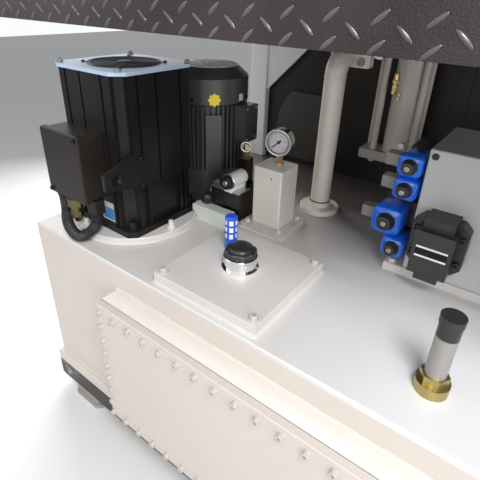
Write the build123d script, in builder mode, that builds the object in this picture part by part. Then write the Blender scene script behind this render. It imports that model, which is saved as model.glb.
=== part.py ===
import os
from math import radians, tan

from build123d import *

os.makedirs("parts", exist_ok=True)

# Base of a vertical injection molding machine: a welded oil tank that carries the
# hydraulic power unit, with the tread-plate deck of the machine above it.
# X runs along the front wall, Y runs to the back, Z = 0 is the floor.

# driving dimensions of the tank
tank_length = 1400
tank_depth = 920
tank_top_z = 600
wall = 8
top_thickness = 10
foot_height = 40
rail_height = 65
rail_width = 80
rail_overhang = 15
bottom_thickness = 35
bottom_lip = 12
seat_gap = 0.3

left = -tank_length / 2
right = tank_length / 2
front = bottom_lip - rail_width / 2
rear = front + tank_depth
middle_y = front + tank_depth / 2
rail_z = foot_height
bottom_z = rail_z + rail_height
wall_z = bottom_z + bottom_thickness
wall_height = tank_top_z - top_thickness - wall_z

# levelling mounts under the two rails
foot_length = 120
foot_width = 90
foot_pad = 12
foot_corner = 12
foot_step = 7
foot_inset = 110
foot_xs = (left + foot_inset, 0, right - foot_inset)
rail_ys = (0, rear + bottom_lip - rail_width / 2)
foot_places = [(x, y) for x in foot_xs for y in rail_ys]

with BuildSketch() as foot_outline:
    Rectangle(foot_length, foot_width)
    chamfer(foot_outline.vertices(), foot_corner)

with BuildPart() as levelling_mounts:
    with BuildSketch(Plane.XY):
        with Locations(*foot_places):
            add(foot_outline.sketch)
    extrude(amount=foot_pad)
    with BuildSketch(Plane.XY.offset(foot_pad)):
        with Locations(*foot_places):
            Rectangle(foot_length - 2 * foot_step, foot_width - 2 * foot_step)
    extrude(amount=foot_height - foot_pad)

# two black channel rails that open towards each other
rail_wall = 8
rail_length = tank_length + 2 * rail_overhang
rail_mid_z = rail_z + rail_height / 2
with BuildPart() as base_rails:
    with BuildSketch(Plane.YZ.offset(-rail_length / 2)):
        for y, side in zip(rail_ys, (1, -1)):
            with Locations((y, rail_mid_z)):
                Rectangle(rail_width, rail_height)
            with Locations((y + side * rail_wall / 2, rail_mid_z)):
                Rectangle(rail_width - rail_wall, rail_height - 2 * rail_wall, mode=Mode.SUBTRACT)
    extrude(amount=rail_length)

bottom_bevel = 3
with BuildPart() as bottom_plate:
    with BuildSketch(Plane.XY.offset(bottom_z)):
        with Locations((0, middle_y)):
            Rectangle(tank_length + 2 * bottom_lip, tank_depth + 2 * bottom_lip)
    extrude(amount=bottom_thickness)
    chamfer(bottom_plate.edges().group_by(Axis.Z)[-1], bottom_bevel)

# cleanout hatch on the front wall: opening, welded frame and bolted cover
cleanout_left = left + 326
cleanout_length = 2 * abs(cleanout_left)
cleanout_top_z = tank_top_z - 66
cleanout_lift = 26
cleanout_bottom_z = wall_z + cleanout_lift
cleanout_height = cleanout_top_z - cleanout_bottom_z
cleanout_frame_depth = 46
cleanout_frame_width = 55
cleanout_cover_thickness = 16
cleanout_cover_corner = 6
cleanout_cover_bevel = 1.5
cleanout_mid_z = (cleanout_top_z + cleanout_bottom_z) / 2

# four walls welded into one shell, open above and below
with BuildPart() as tank_shell:
    with BuildSketch(Plane.XY.offset(wall_z)):
        with Locations((0, middle_y)):
            Rectangle(tank_length, tank_depth)
            Rectangle(tank_length - 2 * wall, tank_depth - 2 * wall, mode=Mode.SUBTRACT)
    extrude(amount=wall_height)
    with BuildSketch(Plane.XZ.offset(-front)):
        with Locations((0, cleanout_mid_z)):
            Rectangle(cleanout_length - 2 * cleanout_frame_width, cleanout_height - 2 * cleanout_frame_width)
    extrude(amount=-wall, mode=Mode.SUBTRACT)

with BuildPart() as cleanout_frame:
    with BuildSketch(Plane.XZ.offset(-front)):
        with Locations((0, cleanout_mid_z)):
            Rectangle(cleanout_length, cleanout_height)
            Rectangle(
                cleanout_length - 2 * cleanout_frame_width,
                cleanout_height - 2 * cleanout_frame_width,
                mode=Mode.SUBTRACT,
            )
    extrude(amount=cleanout_frame_depth)

with BuildPart() as cleanout_cover:
    with BuildSketch(Plane.XZ.offset(-front + cleanout_frame_depth)):
        with Locations((0, cleanout_mid_z)):
            RectangleRounded(cleanout_length, cleanout_height, cleanout_cover_corner)
    extrude(amount=cleanout_cover_thickness)
    chamfer(cleanout_cover.edges().group_by(Axis.Y)[0], cleanout_cover_bevel)

# places on the tank top, each measured from the tank's left end and front wall
servo_x = left + 170
servo_y = front + 206
motor_x = left + 205
motor_y = front + 474
filler_x = left + 573
filler_y = front + 150
neck_x = left + 569
neck_y = front + 152
breather_x = left + 508
breather_y = front + 196
post_x = left + 494
post_y = front + 397
block_x = left + 383
pipe_x = left + 545
pipe_y = front + 570
manifold_left = left + 848
manifold_front = front + 390
manifold_base_left = left + 806
manifold_base_front = front + 385
union_x = left + 992
union_y = front + 103
cylinder_x = left + 672
cylinder_y = rear - 156

# sizes of the pads that are welded to the tank top
servo_ring_radius = 164
servo_ring_height = 15
filler_size = 266
filler_opening = 196
filler_frame_height = 13
manifold_base_length = 330
manifold_base_depth = 250
manifold_base_height = 20
pad_bevel = 2
pipe_radius = 27.5
pipe_wall = 4
pipe_bore = pipe_radius - pipe_wall

tank_top_bevel = 3
with BuildPart() as tank_top:
    with BuildSketch(Plane.XY.offset(tank_top_z - top_thickness)):
        with Locations((0, middle_y)):
            Rectangle(tank_length, tank_depth)
        with Locations((filler_x, filler_y)):
            Rectangle(filler_opening, filler_opening, mode=Mode.SUBTRACT)
        with Locations((pipe_x, pipe_y)):
            Circle(pipe_bore, mode=Mode.SUBTRACT)
    extrude(amount=top_thickness)
    top_rim = tank_top.edges().group_by(Axis.Z)[-1].sort_by(Edge.length)[-4:]
    chamfer(top_rim, tank_top_bevel)

# welded pads: round servo ring, square filler frame, base bar of the manifold
with BuildPart() as mounting_pads:
    with BuildSketch(Plane.XY.offset(tank_top_z)):
        with Locations((servo_x, servo_y)):
            Circle(servo_ring_radius)
    extrude(amount=servo_ring_height)
    with BuildSketch(Plane.XY.offset(tank_top_z)):
        with Locations((filler_x, filler_y)):
            Rectangle(filler_size, filler_size)
            Rectangle(filler_opening, filler_opening, mode=Mode.SUBTRACT)
    extrude(amount=filler_frame_height)
    with BuildSketch(Plane.XY.offset(tank_top_z)):
        with Locations((manifold_base_left + manifold_base_length / 2, manifold_base_front + manifold_base_depth / 2)):
            Rectangle(manifold_base_length, manifold_base_depth)
    extrude(amount=manifold_base_height)
    pad_rims = mounting_pads.edges().group_by(Axis.Z)
    chamfer(pad_rims[-1] + mounting_pads.edges().filter_by(GeomType.CIRCLE).group_by(Axis.Z)[-1], pad_bevel)

# servo motor, standing on the round pad
servo_size = 236
servo_corner = 26
servo_flange_size = 246
servo_flange_corner = 17
servo_flange_height = 16
servo_housing_size = 216
servo_housing_corner = 34
servo_skirt_z = tank_top_z + 139
servo_body_top_z = tank_top_z + 352
servo_cowl_height = 46
servo_lid_thickness = 8
servo_lid_overlap = 3
cowl_wall = 12
cowl_inner_corner = 24
fan_opening_radius = 80
groove_width = 7
groove_depth = 6
groove_shares = (-0.40, -0.29, -0.06, 0.26, 0.40)
rib_width = 9
rib_depth = 8
rib_shares = (-0.34, -0.22, 0.24, 0.31)

servo_z = tank_top_z + servo_ring_height
servo_body_z = servo_z + servo_flange_height
servo_top_z = servo_body_top_z + servo_cowl_height + servo_lid_thickness

# outline of the finned cover: a square with cut corners and grooves in each side
groove_places = [share * servo_size for share in groove_shares]
with BuildSketch() as servo_outline:
    Rectangle(servo_size, servo_size)
    chamfer(servo_outline.vertices(), servo_corner)
    with Locations(*[(g, side * servo_size / 2) for g in groove_places for side in (-1, 1)]):
        Rectangle(groove_width, 2 * groove_depth, mode=Mode.SUBTRACT)
    with Locations(*[(side * servo_size / 2, g) for g in groove_places for side in (-1, 1)]):
        Rectangle(2 * groove_depth, groove_width, mode=Mode.SUBTRACT)

# outline of the lower housing: a smaller square with raised ribs
with BuildSketch() as housing_outline:
    Rectangle(servo_housing_size, servo_housing_size)
    chamfer(housing_outline.vertices(), servo_housing_corner)
    for turn in range(0, 360, 90):
        with Locations(Location((0, 0, 0), (0, 0, turn))):
            with Locations(*[(servo_housing_size / 2, share * servo_size) for share in rib_shares]):
                Rectangle(2 * rib_depth, rib_width)

fan_shaft_radius = 8
fan_hub_radius = 26
fan_radius = 72
fan_height = 22
fan_lift = 8
fan_blades = 7
fan_bore_gap = 0.3

with BuildPart() as servo_body:
    with BuildSketch(Plane.XY.offset(servo_z)) as servo_flange_sketch:
        with Locations((servo_x, servo_y)):
            Rectangle(servo_flange_size, servo_flange_size)
        chamfer(servo_flange_sketch.vertices(), servo_flange_corner)
    extrude(amount=servo_flange_height)
    with BuildSketch(Plane.XY.offset(servo_body_z)):
        with Locations((servo_x, servo_y)):
            add(housing_outline.sketch)
    extrude(amount=servo_skirt_z - servo_body_z)
    with BuildSketch(Plane.XY.offset(servo_skirt_z)):
        with Locations((servo_x, servo_y)):
            add(servo_outline.sketch)
    extrude(amount=servo_body_top_z - servo_skirt_z)
    with BuildSketch(Plane.XY.offset(servo_body_top_z)):
        with Locations((servo_x, servo_y)):
            Circle(fan_shaft_radius)
    extrude(amount=fan_lift + fan_height)

with BuildPart() as servo_cowl:
    with BuildSketch(Plane.XY.offset(servo_body_top_z)):
        with Locations((servo_x, servo_y)):
            add(servo_outline.sketch)
            RectangleRounded(
                servo_size - 2 * cowl_wall, servo_size - 2 * cowl_wall, cowl_inner_corner, mode=Mode.SUBTRACT
            )
    extrude(amount=servo_cowl_height)

lid_size = servo_size + 2 * servo_lid_overlap
with BuildPart() as servo_lid:
    with BuildSketch(Plane.XY.offset(servo_body_top_z + servo_cowl_height)) as servo_lid_sketch:
        with Locations((servo_x, servo_y)):
            Rectangle(lid_size, lid_size)
        chamfer(servo_lid_sketch.vertices(), servo_corner)
        with Locations((servo_x, servo_y)):
            Circle(fan_opening_radius, mode=Mode.SUBTRACT)
    extrude(amount=servo_lid_thickness)

# round wire grille over the fan: rings carried by crossing spokes
grille_wire = 3
grille_overlap = 6
grille_ring_count = 4
grille_sides = 24
grille_inner_radius = 22
grille_rim = fan_opening_radius + grille_overlap
grille_pitch = (grille_rim - grille_inner_radius) / grille_ring_count
grille_radii = [grille_inner_radius + grille_pitch * step for step in range(grille_ring_count, -1, -1)]
with BuildPart() as servo_fan_grille:
    with BuildSketch(Plane.XY.offset(servo_top_z)):
        with Locations((servo_x, servo_y)):
            for ring_radius in grille_radii:
                RegularPolygon(ring_radius, grille_sides)
                RegularPolygon(ring_radius - grille_wire, grille_sides, mode=Mode.SUBTRACT)
        with Locations(*[Location((servo_x, servo_y, 0), (0, 0, turn)) for turn in (0, 60, 120)]):
            Rectangle(2 * grille_rim - grille_wire, grille_wire)
    extrude(amount=grille_wire)

# cooling fan: hub and pitched blades on the motor shaft
blade_thickness = 2.5
blade_pitch = 32
blade_root = 4
fan_z = servo_body_top_z + fan_lift
fan_centre = Location((servo_x, servo_y, fan_z + fan_height / 2))
with BuildPart() as servo_fan:
    with BuildSketch(Plane.XY.offset(fan_z)):
        with Locations((servo_x, servo_y)):
            Circle(fan_hub_radius)
    extrude(amount=fan_height)
    for blade in range(fan_blades):
        turn = fan_centre * Location((0, 0, 0), (0, 0, blade * 360 / fan_blades))
        root = turn * Location((fan_hub_radius - blade_root, 0, 0), (0, 90, 0))
        with BuildSketch(Plane(root * Location((0, 0, 0), (0, 0, blade_pitch)))):
            Rectangle(blade_thickness, fan_height)
        extrude(amount=fan_radius - fan_hub_radius + blade_root)
    with BuildSketch(Plane.XY.offset(fan_z)):
        with Locations((servo_x, servo_y)):
            Circle(fan_shaft_radius + fan_bore_gap)
    extrude(amount=fan_height, mode=Mode.SUBTRACT)

# terminal box on the front face of the servo motor, with the cable plug under it
servo_front = servo_y - servo_size / 2
box_left = left + 66
box_length = 148
box_depth = 66
box_cover_depth = 14
box_bottom_z = tank_top_z + 104
box_height = 168
box_corner = 8
box_rim = 3
box_mid_x = box_left + box_length / 2
box_mid_z = box_bottom_z + box_height / 2
box_seat_z = box_bottom_z + box_rim
cable_left_x = box_left + 28
cable_left_y = servo_front - 48
cable_right_x = box_left + 127
cable_right_y = servo_front - 28
plug_length = 36
plug_depth = 32
plug_height = 38
plug_corner = 6
cable_boss_radius = 16
cable_boss_height = 8
gland_y = servo_front - 48
gland_boss_radius = 20
gland_boss_height = 5
with BuildPart() as servo_terminal_box:
    with BuildSketch(Plane.XZ.offset(-servo_front)):
        with Locations((box_mid_x, box_mid_z)):
            RectangleRounded(box_length - 2 * box_rim, box_height - 2 * box_rim, box_corner)
    extrude(amount=box_depth - box_cover_depth)
    with BuildSketch(Plane.XZ.offset(-servo_front + box_depth - box_cover_depth)):
        with Locations((box_mid_x, box_mid_z)):
            RectangleRounded(box_length, box_height, box_corner)
    extrude(amount=box_cover_depth)
    chamfer(servo_terminal_box.edges().group_by(Axis.Y)[0], box_rim)
    with BuildSketch(Plane.XY.offset(box_seat_z)):
        with Locations((cable_right_x, cable_right_y)):
            RectangleRounded(plug_length, plug_depth, plug_corner)
    extrude(amount=-plug_height)
    with BuildSketch(Plane.XY.offset(box_seat_z)):
        with Locations((cable_left_x, cable_left_y)):
            Circle(cable_boss_radius)
    extrude(amount=-cable_boss_height)
    with BuildSketch(Plane.XY.offset(box_seat_z)):
        with Locations((box_mid_x, gland_y)):
            Circle(gland_boss_radius)
    extrude(amount=-gland_boss_height)

# brass gland between the plug and the loop: two hexagons and a tapered mouth
gland_steps = ((19, 23, 6), (14, 14, 0), (16, 14, 6))
gland_mouth_radius = 14
gland_mouth_height = 14
gland_mouth_taper = 26
with BuildPart() as servo_cable_gland:
    gland_z = box_seat_z - gland_boss_height
    for step_radius, step_height, step_sides in gland_steps:
        with BuildSketch(Plane.XY.offset(gland_z)):
            with Locations((box_mid_x, gland_y)):
                if step_sides:
                    RegularPolygon(step_radius, step_sides)
                else:
                    Circle(step_radius)
        extrude(amount=-step_height)
        gland_z = gland_z - step_height
    with BuildSketch(Plane.XY.offset(gland_z)):
        with Locations((box_mid_x, gland_y)):
            Circle(gland_mouth_radius)
    extrude(amount=-gland_mouth_height, taper=gland_mouth_taper)

# cable loop: out of the box at the left, down to the tank top and up into the plug
cable_diameter = 28
cable_sides = 12
cable_share = 0.45
cable_points = [
    Vector(cable_left_x, cable_left_y, box_seat_z - cable_boss_height - seat_gap),
    Vector(-606, 12, 662),
    Vector(-582, -7, 632),
    Vector(-548, -15, 616),
    Vector(-513, -14, 616),
    Vector(-501, 13, 632),
    Vector(-507, 32, 646),
    Vector(cable_right_x, cable_right_y, box_seat_z - plug_height - seat_gap),
]
cable_runs = [end - start for start, end in zip(cable_points, cable_points[1:])]
cable_turns = [before.get_angle(after) for before, after in zip(cable_runs, cable_runs[1:])]
cable_radii = [
    cable_share * min(before.length, after.length) / tan(radians(turn / 2))
    for before, after, turn in zip(cable_runs, cable_runs[1:], cable_turns)
]
print("servo cable bend radii", [round(radius, 1) for radius in cable_radii])
with BuildPart() as servo_cable:
    with BuildLine() as cable_line:
        FilletPolyline(*cable_points, radius=cable_radii)
    with BuildSketch(Plane(origin=cable_line.line @ 0, z_dir=cable_line.line % 0)):
        RegularPolygon(cable_diameter / 2, cable_sides)
    sweep()
print("servo cable length", round(sum(edge.length for edge in cable_line.edges()), 1))

# lifting lugs bolted to two opposite side faces of the servo motor, past its corners
lug_thickness = 10
lug_tip = -184
lug_peak = -91
lug_heel = -60
lug_tip_low_z = tank_top_z + 167
lug_tip_high_z = tank_top_z + 203
lug_peak_z = tank_top_z + 235
lug_shoulder_z = tank_top_z + 197
lug_eye_y = -153
lug_eye_z = tank_top_z + 185
lug_eye_radius = 13
with BuildPart() as servo_lifting_lugs:
    for turn in (0, 180):
        side_face = Location((servo_x, servo_y, 0), (0, 0, turn)) * Location((servo_size / 2, 0, 0))
        with BuildSketch(Plane(side_face * Plane.YZ.location)):
            with BuildLine():
                Polyline(
                    (lug_tip, lug_tip_low_z),
                    (lug_tip, lug_tip_high_z),
                    (lug_peak, lug_peak_z),
                    (lug_heel, lug_shoulder_z),
                    (lug_heel, servo_skirt_z),
                    close=True,
                )
            make_face()
            with Locations((lug_eye_y, lug_eye_z)):
                Circle(lug_eye_radius, mode=Mode.SUBTRACT)
        extrude(amount=lug_thickness)

# pump motor: ribbed induction motor standing upright
motor_radius = 108
motor_flange_radius = 104
motor_flange_height = 18
motor_drum_radius = 102
motor_core_radius = 92
motor_rib_bottom_z = tank_top_z + 100
motor_rib_top_z = tank_top_z + 284
motor_cowl_z = tank_top_z + 290
motor_rib_count = 48
motor_rib_width = 4
motor_rib_root = 4
motor_pad_turn = -44
motor_pad_width = 44
motor_pad_reach = 110
motor_pad_top_z = tank_top_z + 262
motor_seat_width = 62
motor_seat_low_z = tank_top_z + 196
motor_seat_high_z = tank_top_z + 270
motor_box_shift = 18
motor_centre = Location((motor_x, motor_y, 0))
rib_length = motor_radius - motor_core_radius + motor_rib_root
rib_middle = (motor_radius + motor_core_radius - motor_rib_root) / 2
with BuildPart() as pump_motor_body:
    with BuildSketch(Plane.XY.offset(tank_top_z)):
        with Locations((motor_x, motor_y)):
            Circle(motor_flange_radius)
    extrude(amount=motor_flange_height)
    with BuildSketch(Plane.XY.offset(tank_top_z + motor_flange_height)):
        with Locations((motor_x, motor_y)):
            Circle(motor_drum_radius)
    extrude(amount=motor_rib_bottom_z - tank_top_z - motor_flange_height)
    with BuildSketch(Plane.XY.offset(motor_rib_bottom_z)):
        with Locations((motor_x, motor_y)):
            Circle(motor_core_radius)
    extrude(amount=motor_cowl_z - motor_rib_bottom_z)
    with BuildSketch(Plane.XY.offset(motor_rib_bottom_z)):
        for rib in range(motor_rib_count):
            with Locations(motor_centre * Location((0, 0, 0), (0, 0, rib * 360 / motor_rib_count))):
                with Locations((rib_middle, 0)):
                    Rectangle(rib_length, motor_rib_width)
    extrude(amount=motor_rib_top_z - motor_rib_bottom_z)
    with BuildSketch(Plane.XY.offset(motor_rib_bottom_z)):
        with Locations(motor_centre * Location((0, 0, 0), (0, 0, motor_pad_turn))):
            with Locations(((motor_pad_reach + motor_core_radius - motor_rib_root) / 2, 0)):
                Rectangle(motor_pad_reach - motor_core_radius + motor_rib_root, motor_pad_width)
    extrude(amount=motor_pad_top_z - motor_rib_bottom_z)
    with BuildSketch(Plane.XY.offset(motor_seat_low_z)):
        with Locations((motor_x + rib_middle, motor_y + motor_box_shift)):
            Rectangle(rib_length, motor_seat_width)
    extrude(amount=motor_seat_high_z - motor_seat_low_z)

# fan cowl of the pump motor: drum with a sloping shoulder and a sunk top
motor_cowl_radius = 110
motor_shoulder_z = tank_top_z + 355
motor_top_z = tank_top_z + 381
motor_cap_radius = 81
motor_sink_radius = 76
motor_sink = 3
with BuildPart() as pump_motor_cowl:
    with BuildSketch(Plane.XZ.offset(-motor_y)):
        with BuildLine():
            Polyline(
                (motor_x, motor_cowl_z),
                (motor_x + motor_cowl_radius, motor_cowl_z),
                (motor_x + motor_cowl_radius, motor_shoulder_z),
                (motor_x + motor_cap_radius, motor_top_z),
                (motor_x + motor_sink_radius, motor_top_z),
                (motor_x + motor_sink_radius, motor_top_z - motor_sink),
                (motor_x, motor_top_z - motor_sink),
                close=True,
            )
        make_face()
    revolve(axis=Axis((motor_x, motor_y, 0), (0, 0, 1)))

motor_box_length = 60
motor_box_height = 104
motor_box_depth = 30
motor_box_corner = 6
motor_box_z = (motor_seat_low_z + motor_seat_high_z) / 2
with BuildPart() as pump_motor_terminal_box:
    with BuildSketch(Plane.YZ.offset(motor_x + motor_radius)):
        with Locations((motor_y + motor_box_shift, motor_box_z)):
            RectangleRounded(motor_box_length, motor_box_height, motor_box_corner)
    extrude(amount=motor_box_depth)

# filler cover: bolted plate on the welded frame, with a chrome neck and a black cap
filler_plate_height = 12
filler_plate_bevel = 1
filler_z = tank_top_z + filler_frame_height + filler_plate_height
with BuildPart() as filler_plate:
    with BuildSketch(Plane.XY.offset(tank_top_z + filler_frame_height)):
        with Locations((filler_x, filler_y)):
            Rectangle(filler_size, filler_size)
    extrude(amount=filler_plate_height)
    chamfer(filler_plate.edges().group_by(Axis.Z)[-1], filler_plate_bevel)

neck_flange_radius = 41
neck_flange_height = 4
neck_radius = 36
neck_height = 32
neck_bevel = 3
with BuildPart() as filler_neck:
    with BuildSketch(Plane.XY.offset(filler_z)):
        with Locations((neck_x, neck_y)):
            Circle(neck_flange_radius)
    extrude(amount=neck_flange_height)
    with BuildSketch(Plane.XY.offset(filler_z + neck_flange_height)):
        with Locations((neck_x, neck_y)):
            Circle(neck_radius)
    extrude(amount=neck_height - neck_flange_height)
    chamfer(filler_neck.edges().group_by(Axis.Z)[-1], neck_bevel)

# screw cap: finger notches round the skirt and a sloping crown
cap_radius = 36
cap_skirt_height = 14
cap_crown_height = 9
cap_crown_slope = 48
cap_crown_sides = 24
cap_notch_count = 8
cap_notch_radius = 7
cap_notch_place = cap_radius + 4
with BuildPart() as filler_cap:
    with BuildSketch(Plane.XY.offset(filler_z + neck_height)):
        with Locations((neck_x, neck_y)):
            Circle(cap_radius)
            with PolarLocations(cap_notch_place, cap_notch_count):
                Circle(cap_notch_radius, mode=Mode.SUBTRACT)
    extrude(amount=cap_skirt_height)
    with BuildSketch(Plane.XY.offset(filler_z + neck_height + cap_skirt_height)):
        with Locations((neck_x, neck_y)):
            RegularPolygon(cap_radius - cap_notch_radius, cap_crown_sides)
    extrude(amount=cap_crown_height, taper=cap_crown_slope)

# air breather: capped tube with three rows of windows
breather_radius = 14.5
breather_height = 88
breather_bevel = 3
window_rows = (64, 81, 98)
window_count = 6
window_width = 9.5
window_height = 13
window_depth = 2
window_turn = -52
with BuildPart() as air_breather:
    with BuildSketch(Plane.XY.offset(filler_z)):
        with Locations((breather_x, breather_y)):
            Circle(breather_radius)
    extrude(amount=breather_height)
    chamfer(air_breather.edges().group_by(Axis.Z)[-1], breather_bevel)
    for row_z in window_rows:
        with Locations((breather_x, breather_y, tank_top_z + row_z)):
            with PolarLocations(breather_radius, window_count, start_angle=window_turn):
                Box(2 * window_depth, window_width, window_height, mode=Mode.SUBTRACT)

# gauge on its box post
post_length = 84
post_depth = 80
post_top = 173
post_corner = 4
post_base_length = 128
post_base_depth = 126
post_base_height = 14
post_base_corner = 6
post_hole_radius = 3
post_hole_depth = 8
post_hole_shift = 12
post_hole_drop = 24
with BuildPart() as gauge_post:
    with BuildSketch(Plane.XY.offset(tank_top_z)):
        with Locations((post_x, post_y)):
            RectangleRounded(post_base_length, post_base_depth, post_base_corner)
    extrude(amount=post_base_height)
    with BuildSketch(Plane.XY.offset(tank_top_z + post_base_height)):
        with Locations((post_x, post_y)):
            RectangleRounded(post_length, post_depth, post_corner)
    extrude(amount=post_top - post_base_height)
    with BuildSketch(Plane.XZ.offset(-(post_y - post_depth / 2))):
        with Locations((post_x + post_hole_shift, tank_top_z + post_top - post_hole_drop)):
            Circle(post_hole_radius)
    extrude(amount=-post_hole_depth, mode=Mode.SUBTRACT)

gauge_turn = 12
gauge_y = post_y + 12
gauge_radius = 34
gauge_case_radius = 31.5
gauge_depth = 32
gauge_rim_width = 5
gauge_rim_depth = 9
dial_thickness = 2
gauge_z = tank_top_z + 233
stem_collar_radius = 11
stem_collar_height = 5
stem_hex = 9
stem_height = gauge_z - gauge_case_radius - seat_gap - tank_top_z - post_top
gauge_plane = Plane(Location((post_x, gauge_y, gauge_z), (0, 0, gauge_turn)) * Location((0, 0, 0), (90, 0, 0)))
with BuildPart() as gauge_stem:
    with BuildSketch(Plane.XY.offset(tank_top_z + post_top)):
        with Locations((post_x, gauge_y)):
            Circle(stem_collar_radius)
    extrude(amount=stem_collar_height)
    with BuildSketch(Plane.XY.offset(tank_top_z + post_top + stem_collar_height)):
        with Locations((post_x, gauge_y)):
            RegularPolygon(stem_hex, 6)
    extrude(amount=stem_height - stem_collar_height)

with BuildPart() as gauge_case:
    with BuildSketch(gauge_plane.offset(-gauge_depth / 2)):
        Circle(gauge_case_radius)
    extrude(amount=gauge_depth - gauge_rim_width)
    with BuildSketch(gauge_plane.offset(gauge_depth / 2 - gauge_rim_width)):
        Circle(gauge_radius)
        Circle(gauge_radius - gauge_rim_width, mode=Mode.SUBTRACT)
    extrude(amount=gauge_rim_depth)

with BuildPart() as gauge_dial:
    with BuildSketch(gauge_plane.offset(gauge_depth / 2 - gauge_rim_width)):
        Circle(gauge_radius - gauge_rim_width - seat_gap)
    extrude(amount=dial_thickness)

# valve block between motor and gauge post, with a ball knob on its lever
block_length = 92
block_depth = 110
block_front_y = front + 325
block_foot_inset = 13
block_z = tank_top_z + 32
block_height = 60
block_left = block_x - block_length / 2
block_top_z = block_z + block_height
knob_y = block_front_y + 20
knob_z = block_z + 14
knob_radius = 19
knob_length = 20
lever_radius = 8
lever_reach = 37
with BuildPart() as valve_block:
    with BuildSketch(Plane.XY.offset(tank_top_z)):
        with Locations((block_x, block_front_y + block_depth / 2)):
            Rectangle(block_length - 2 * block_foot_inset, block_depth - 2 * block_foot_inset)
    extrude(amount=block_z - tank_top_z)
    with BuildSketch(Plane.XY.offset(block_z)):
        with Locations((block_x, block_front_y + block_depth / 2)):
            Rectangle(block_length, block_depth)
    extrude(amount=block_height)
    with BuildSketch(Plane.YZ.offset(block_left)):
        with Locations((knob_y, knob_z)):
            Circle(lever_radius)
    extrude(amount=-lever_reach)
    with BuildSketch(Plane.YZ.offset(block_left - lever_reach)):
        with Locations((knob_y, knob_z)):
            Circle(knob_radius)
    extrude(amount=-knob_length)

# round coil with a stepped end cap, carried by a saddle on the valve block
round_coil_radius = 20
round_coil_length = 60
round_cap_radius = 16
round_cap_length = 12
round_coil_x = block_x + 12
round_coil_z = block_top_z + 29
coil_saddle_width = 26
with BuildPart() as valve_solenoid:
    with BuildSketch(Plane.XZ.offset(-(block_front_y + round_coil_length))):
        with Locations((round_coil_x, round_coil_z)):
            Circle(round_coil_radius)
        with Locations((round_coil_x, (round_coil_z + block_top_z) / 2)):
            Rectangle(coil_saddle_width, round_coil_z - block_top_z)
    extrude(amount=round_coil_length)
    with BuildSketch(Plane.XZ.offset(-block_front_y)):
        with Locations((round_coil_x, round_coil_z)):
            Circle(round_cap_radius)
    extrude(amount=round_cap_length)

# relief valve behind the coil: square body, hexagon and pull ring
relief_x = left + 386
relief_y = front + 412
relief_size = 30
relief_body_height = 72
relief_hex = 11
relief_hex_height = 16
relief_ring_radius = 12
relief_ring_wire = 4
relief_ring_turn = 35
relief_ring_sides = 20
relief_hex_z = block_top_z + relief_body_height
relief_ring_z = relief_hex_z + relief_hex_height + relief_ring_radius - relief_ring_wire / 2
with BuildPart() as relief_valve:
    with BuildSketch(Plane.XY.offset(block_top_z)):
        with Locations((relief_x, relief_y)):
            Rectangle(relief_size, relief_size)
    extrude(amount=relief_body_height)
    with BuildSketch(Plane.XY.offset(relief_hex_z)):
        with Locations((relief_x, relief_y)):
            RegularPolygon(relief_hex, 6)
    extrude(amount=relief_hex_height)
    ring_place = Location((relief_x, relief_y, relief_ring_z), (0, 0, relief_ring_turn))
    with BuildSketch(Plane(ring_place * Plane.XZ.location)):
        RegularPolygon(relief_ring_radius, relief_ring_sides)
        RegularPolygon(relief_ring_radius - relief_ring_wire, relief_ring_sides, mode=Mode.SUBTRACT)
    extrude(amount=relief_ring_wire / 2, both=True)

# light steel block on the tank top beside the servo motor
steel_block_front_y = front + 292
steel_block_depth = block_front_y - steel_block_front_y - seat_gap
steel_block_left = left + 297
steel_block_right = left + 418
steel_block_foot = 14
steel_block_low_z = tank_top_z + 16
steel_block_step_z = tank_top_z + 32
steel_block_top_z = tank_top_z + 57
with BuildPart() as steel_block:
    with BuildSketch(Plane.XZ.offset(-steel_block_front_y)):
        with BuildLine():
            Polyline(
                (steel_block_left + steel_block_foot, tank_top_z),
                (steel_block_left + steel_block_foot, steel_block_low_z),
                (steel_block_left, steel_block_step_z),
                (steel_block_left, steel_block_top_z),
                (steel_block_right, steel_block_top_z),
                (steel_block_right, tank_top_z),
                close=True,
            )
        make_face()
    extrude(amount=-steel_block_depth)

# stand pipe: foot flange and socket, upright pipe with a bend to the back, end flange
pipe_flange_radius = 56
pipe_flange_height = 14
pipe_flange_bevel = 2
pipe_socket_radius = 29.5
pipe_socket_height = 16
pipe_bend = 47
pipe_axis_z = tank_top_z + 424
pipe_end_y = pipe_y + 48
end_flange_length = 108
end_flange_shift = 12
end_flange_height = 54
end_flange_thickness = 26
end_flange_corner = 4
end_bore = 22
pipe_foot_z = tank_top_z + pipe_flange_height + pipe_socket_height
pipe_bend_z = pipe_axis_z - pipe_bend

with BuildSketch() as pipe_section:
    Circle(pipe_radius)
    Circle(pipe_bore, mode=Mode.SUBTRACT)

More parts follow.
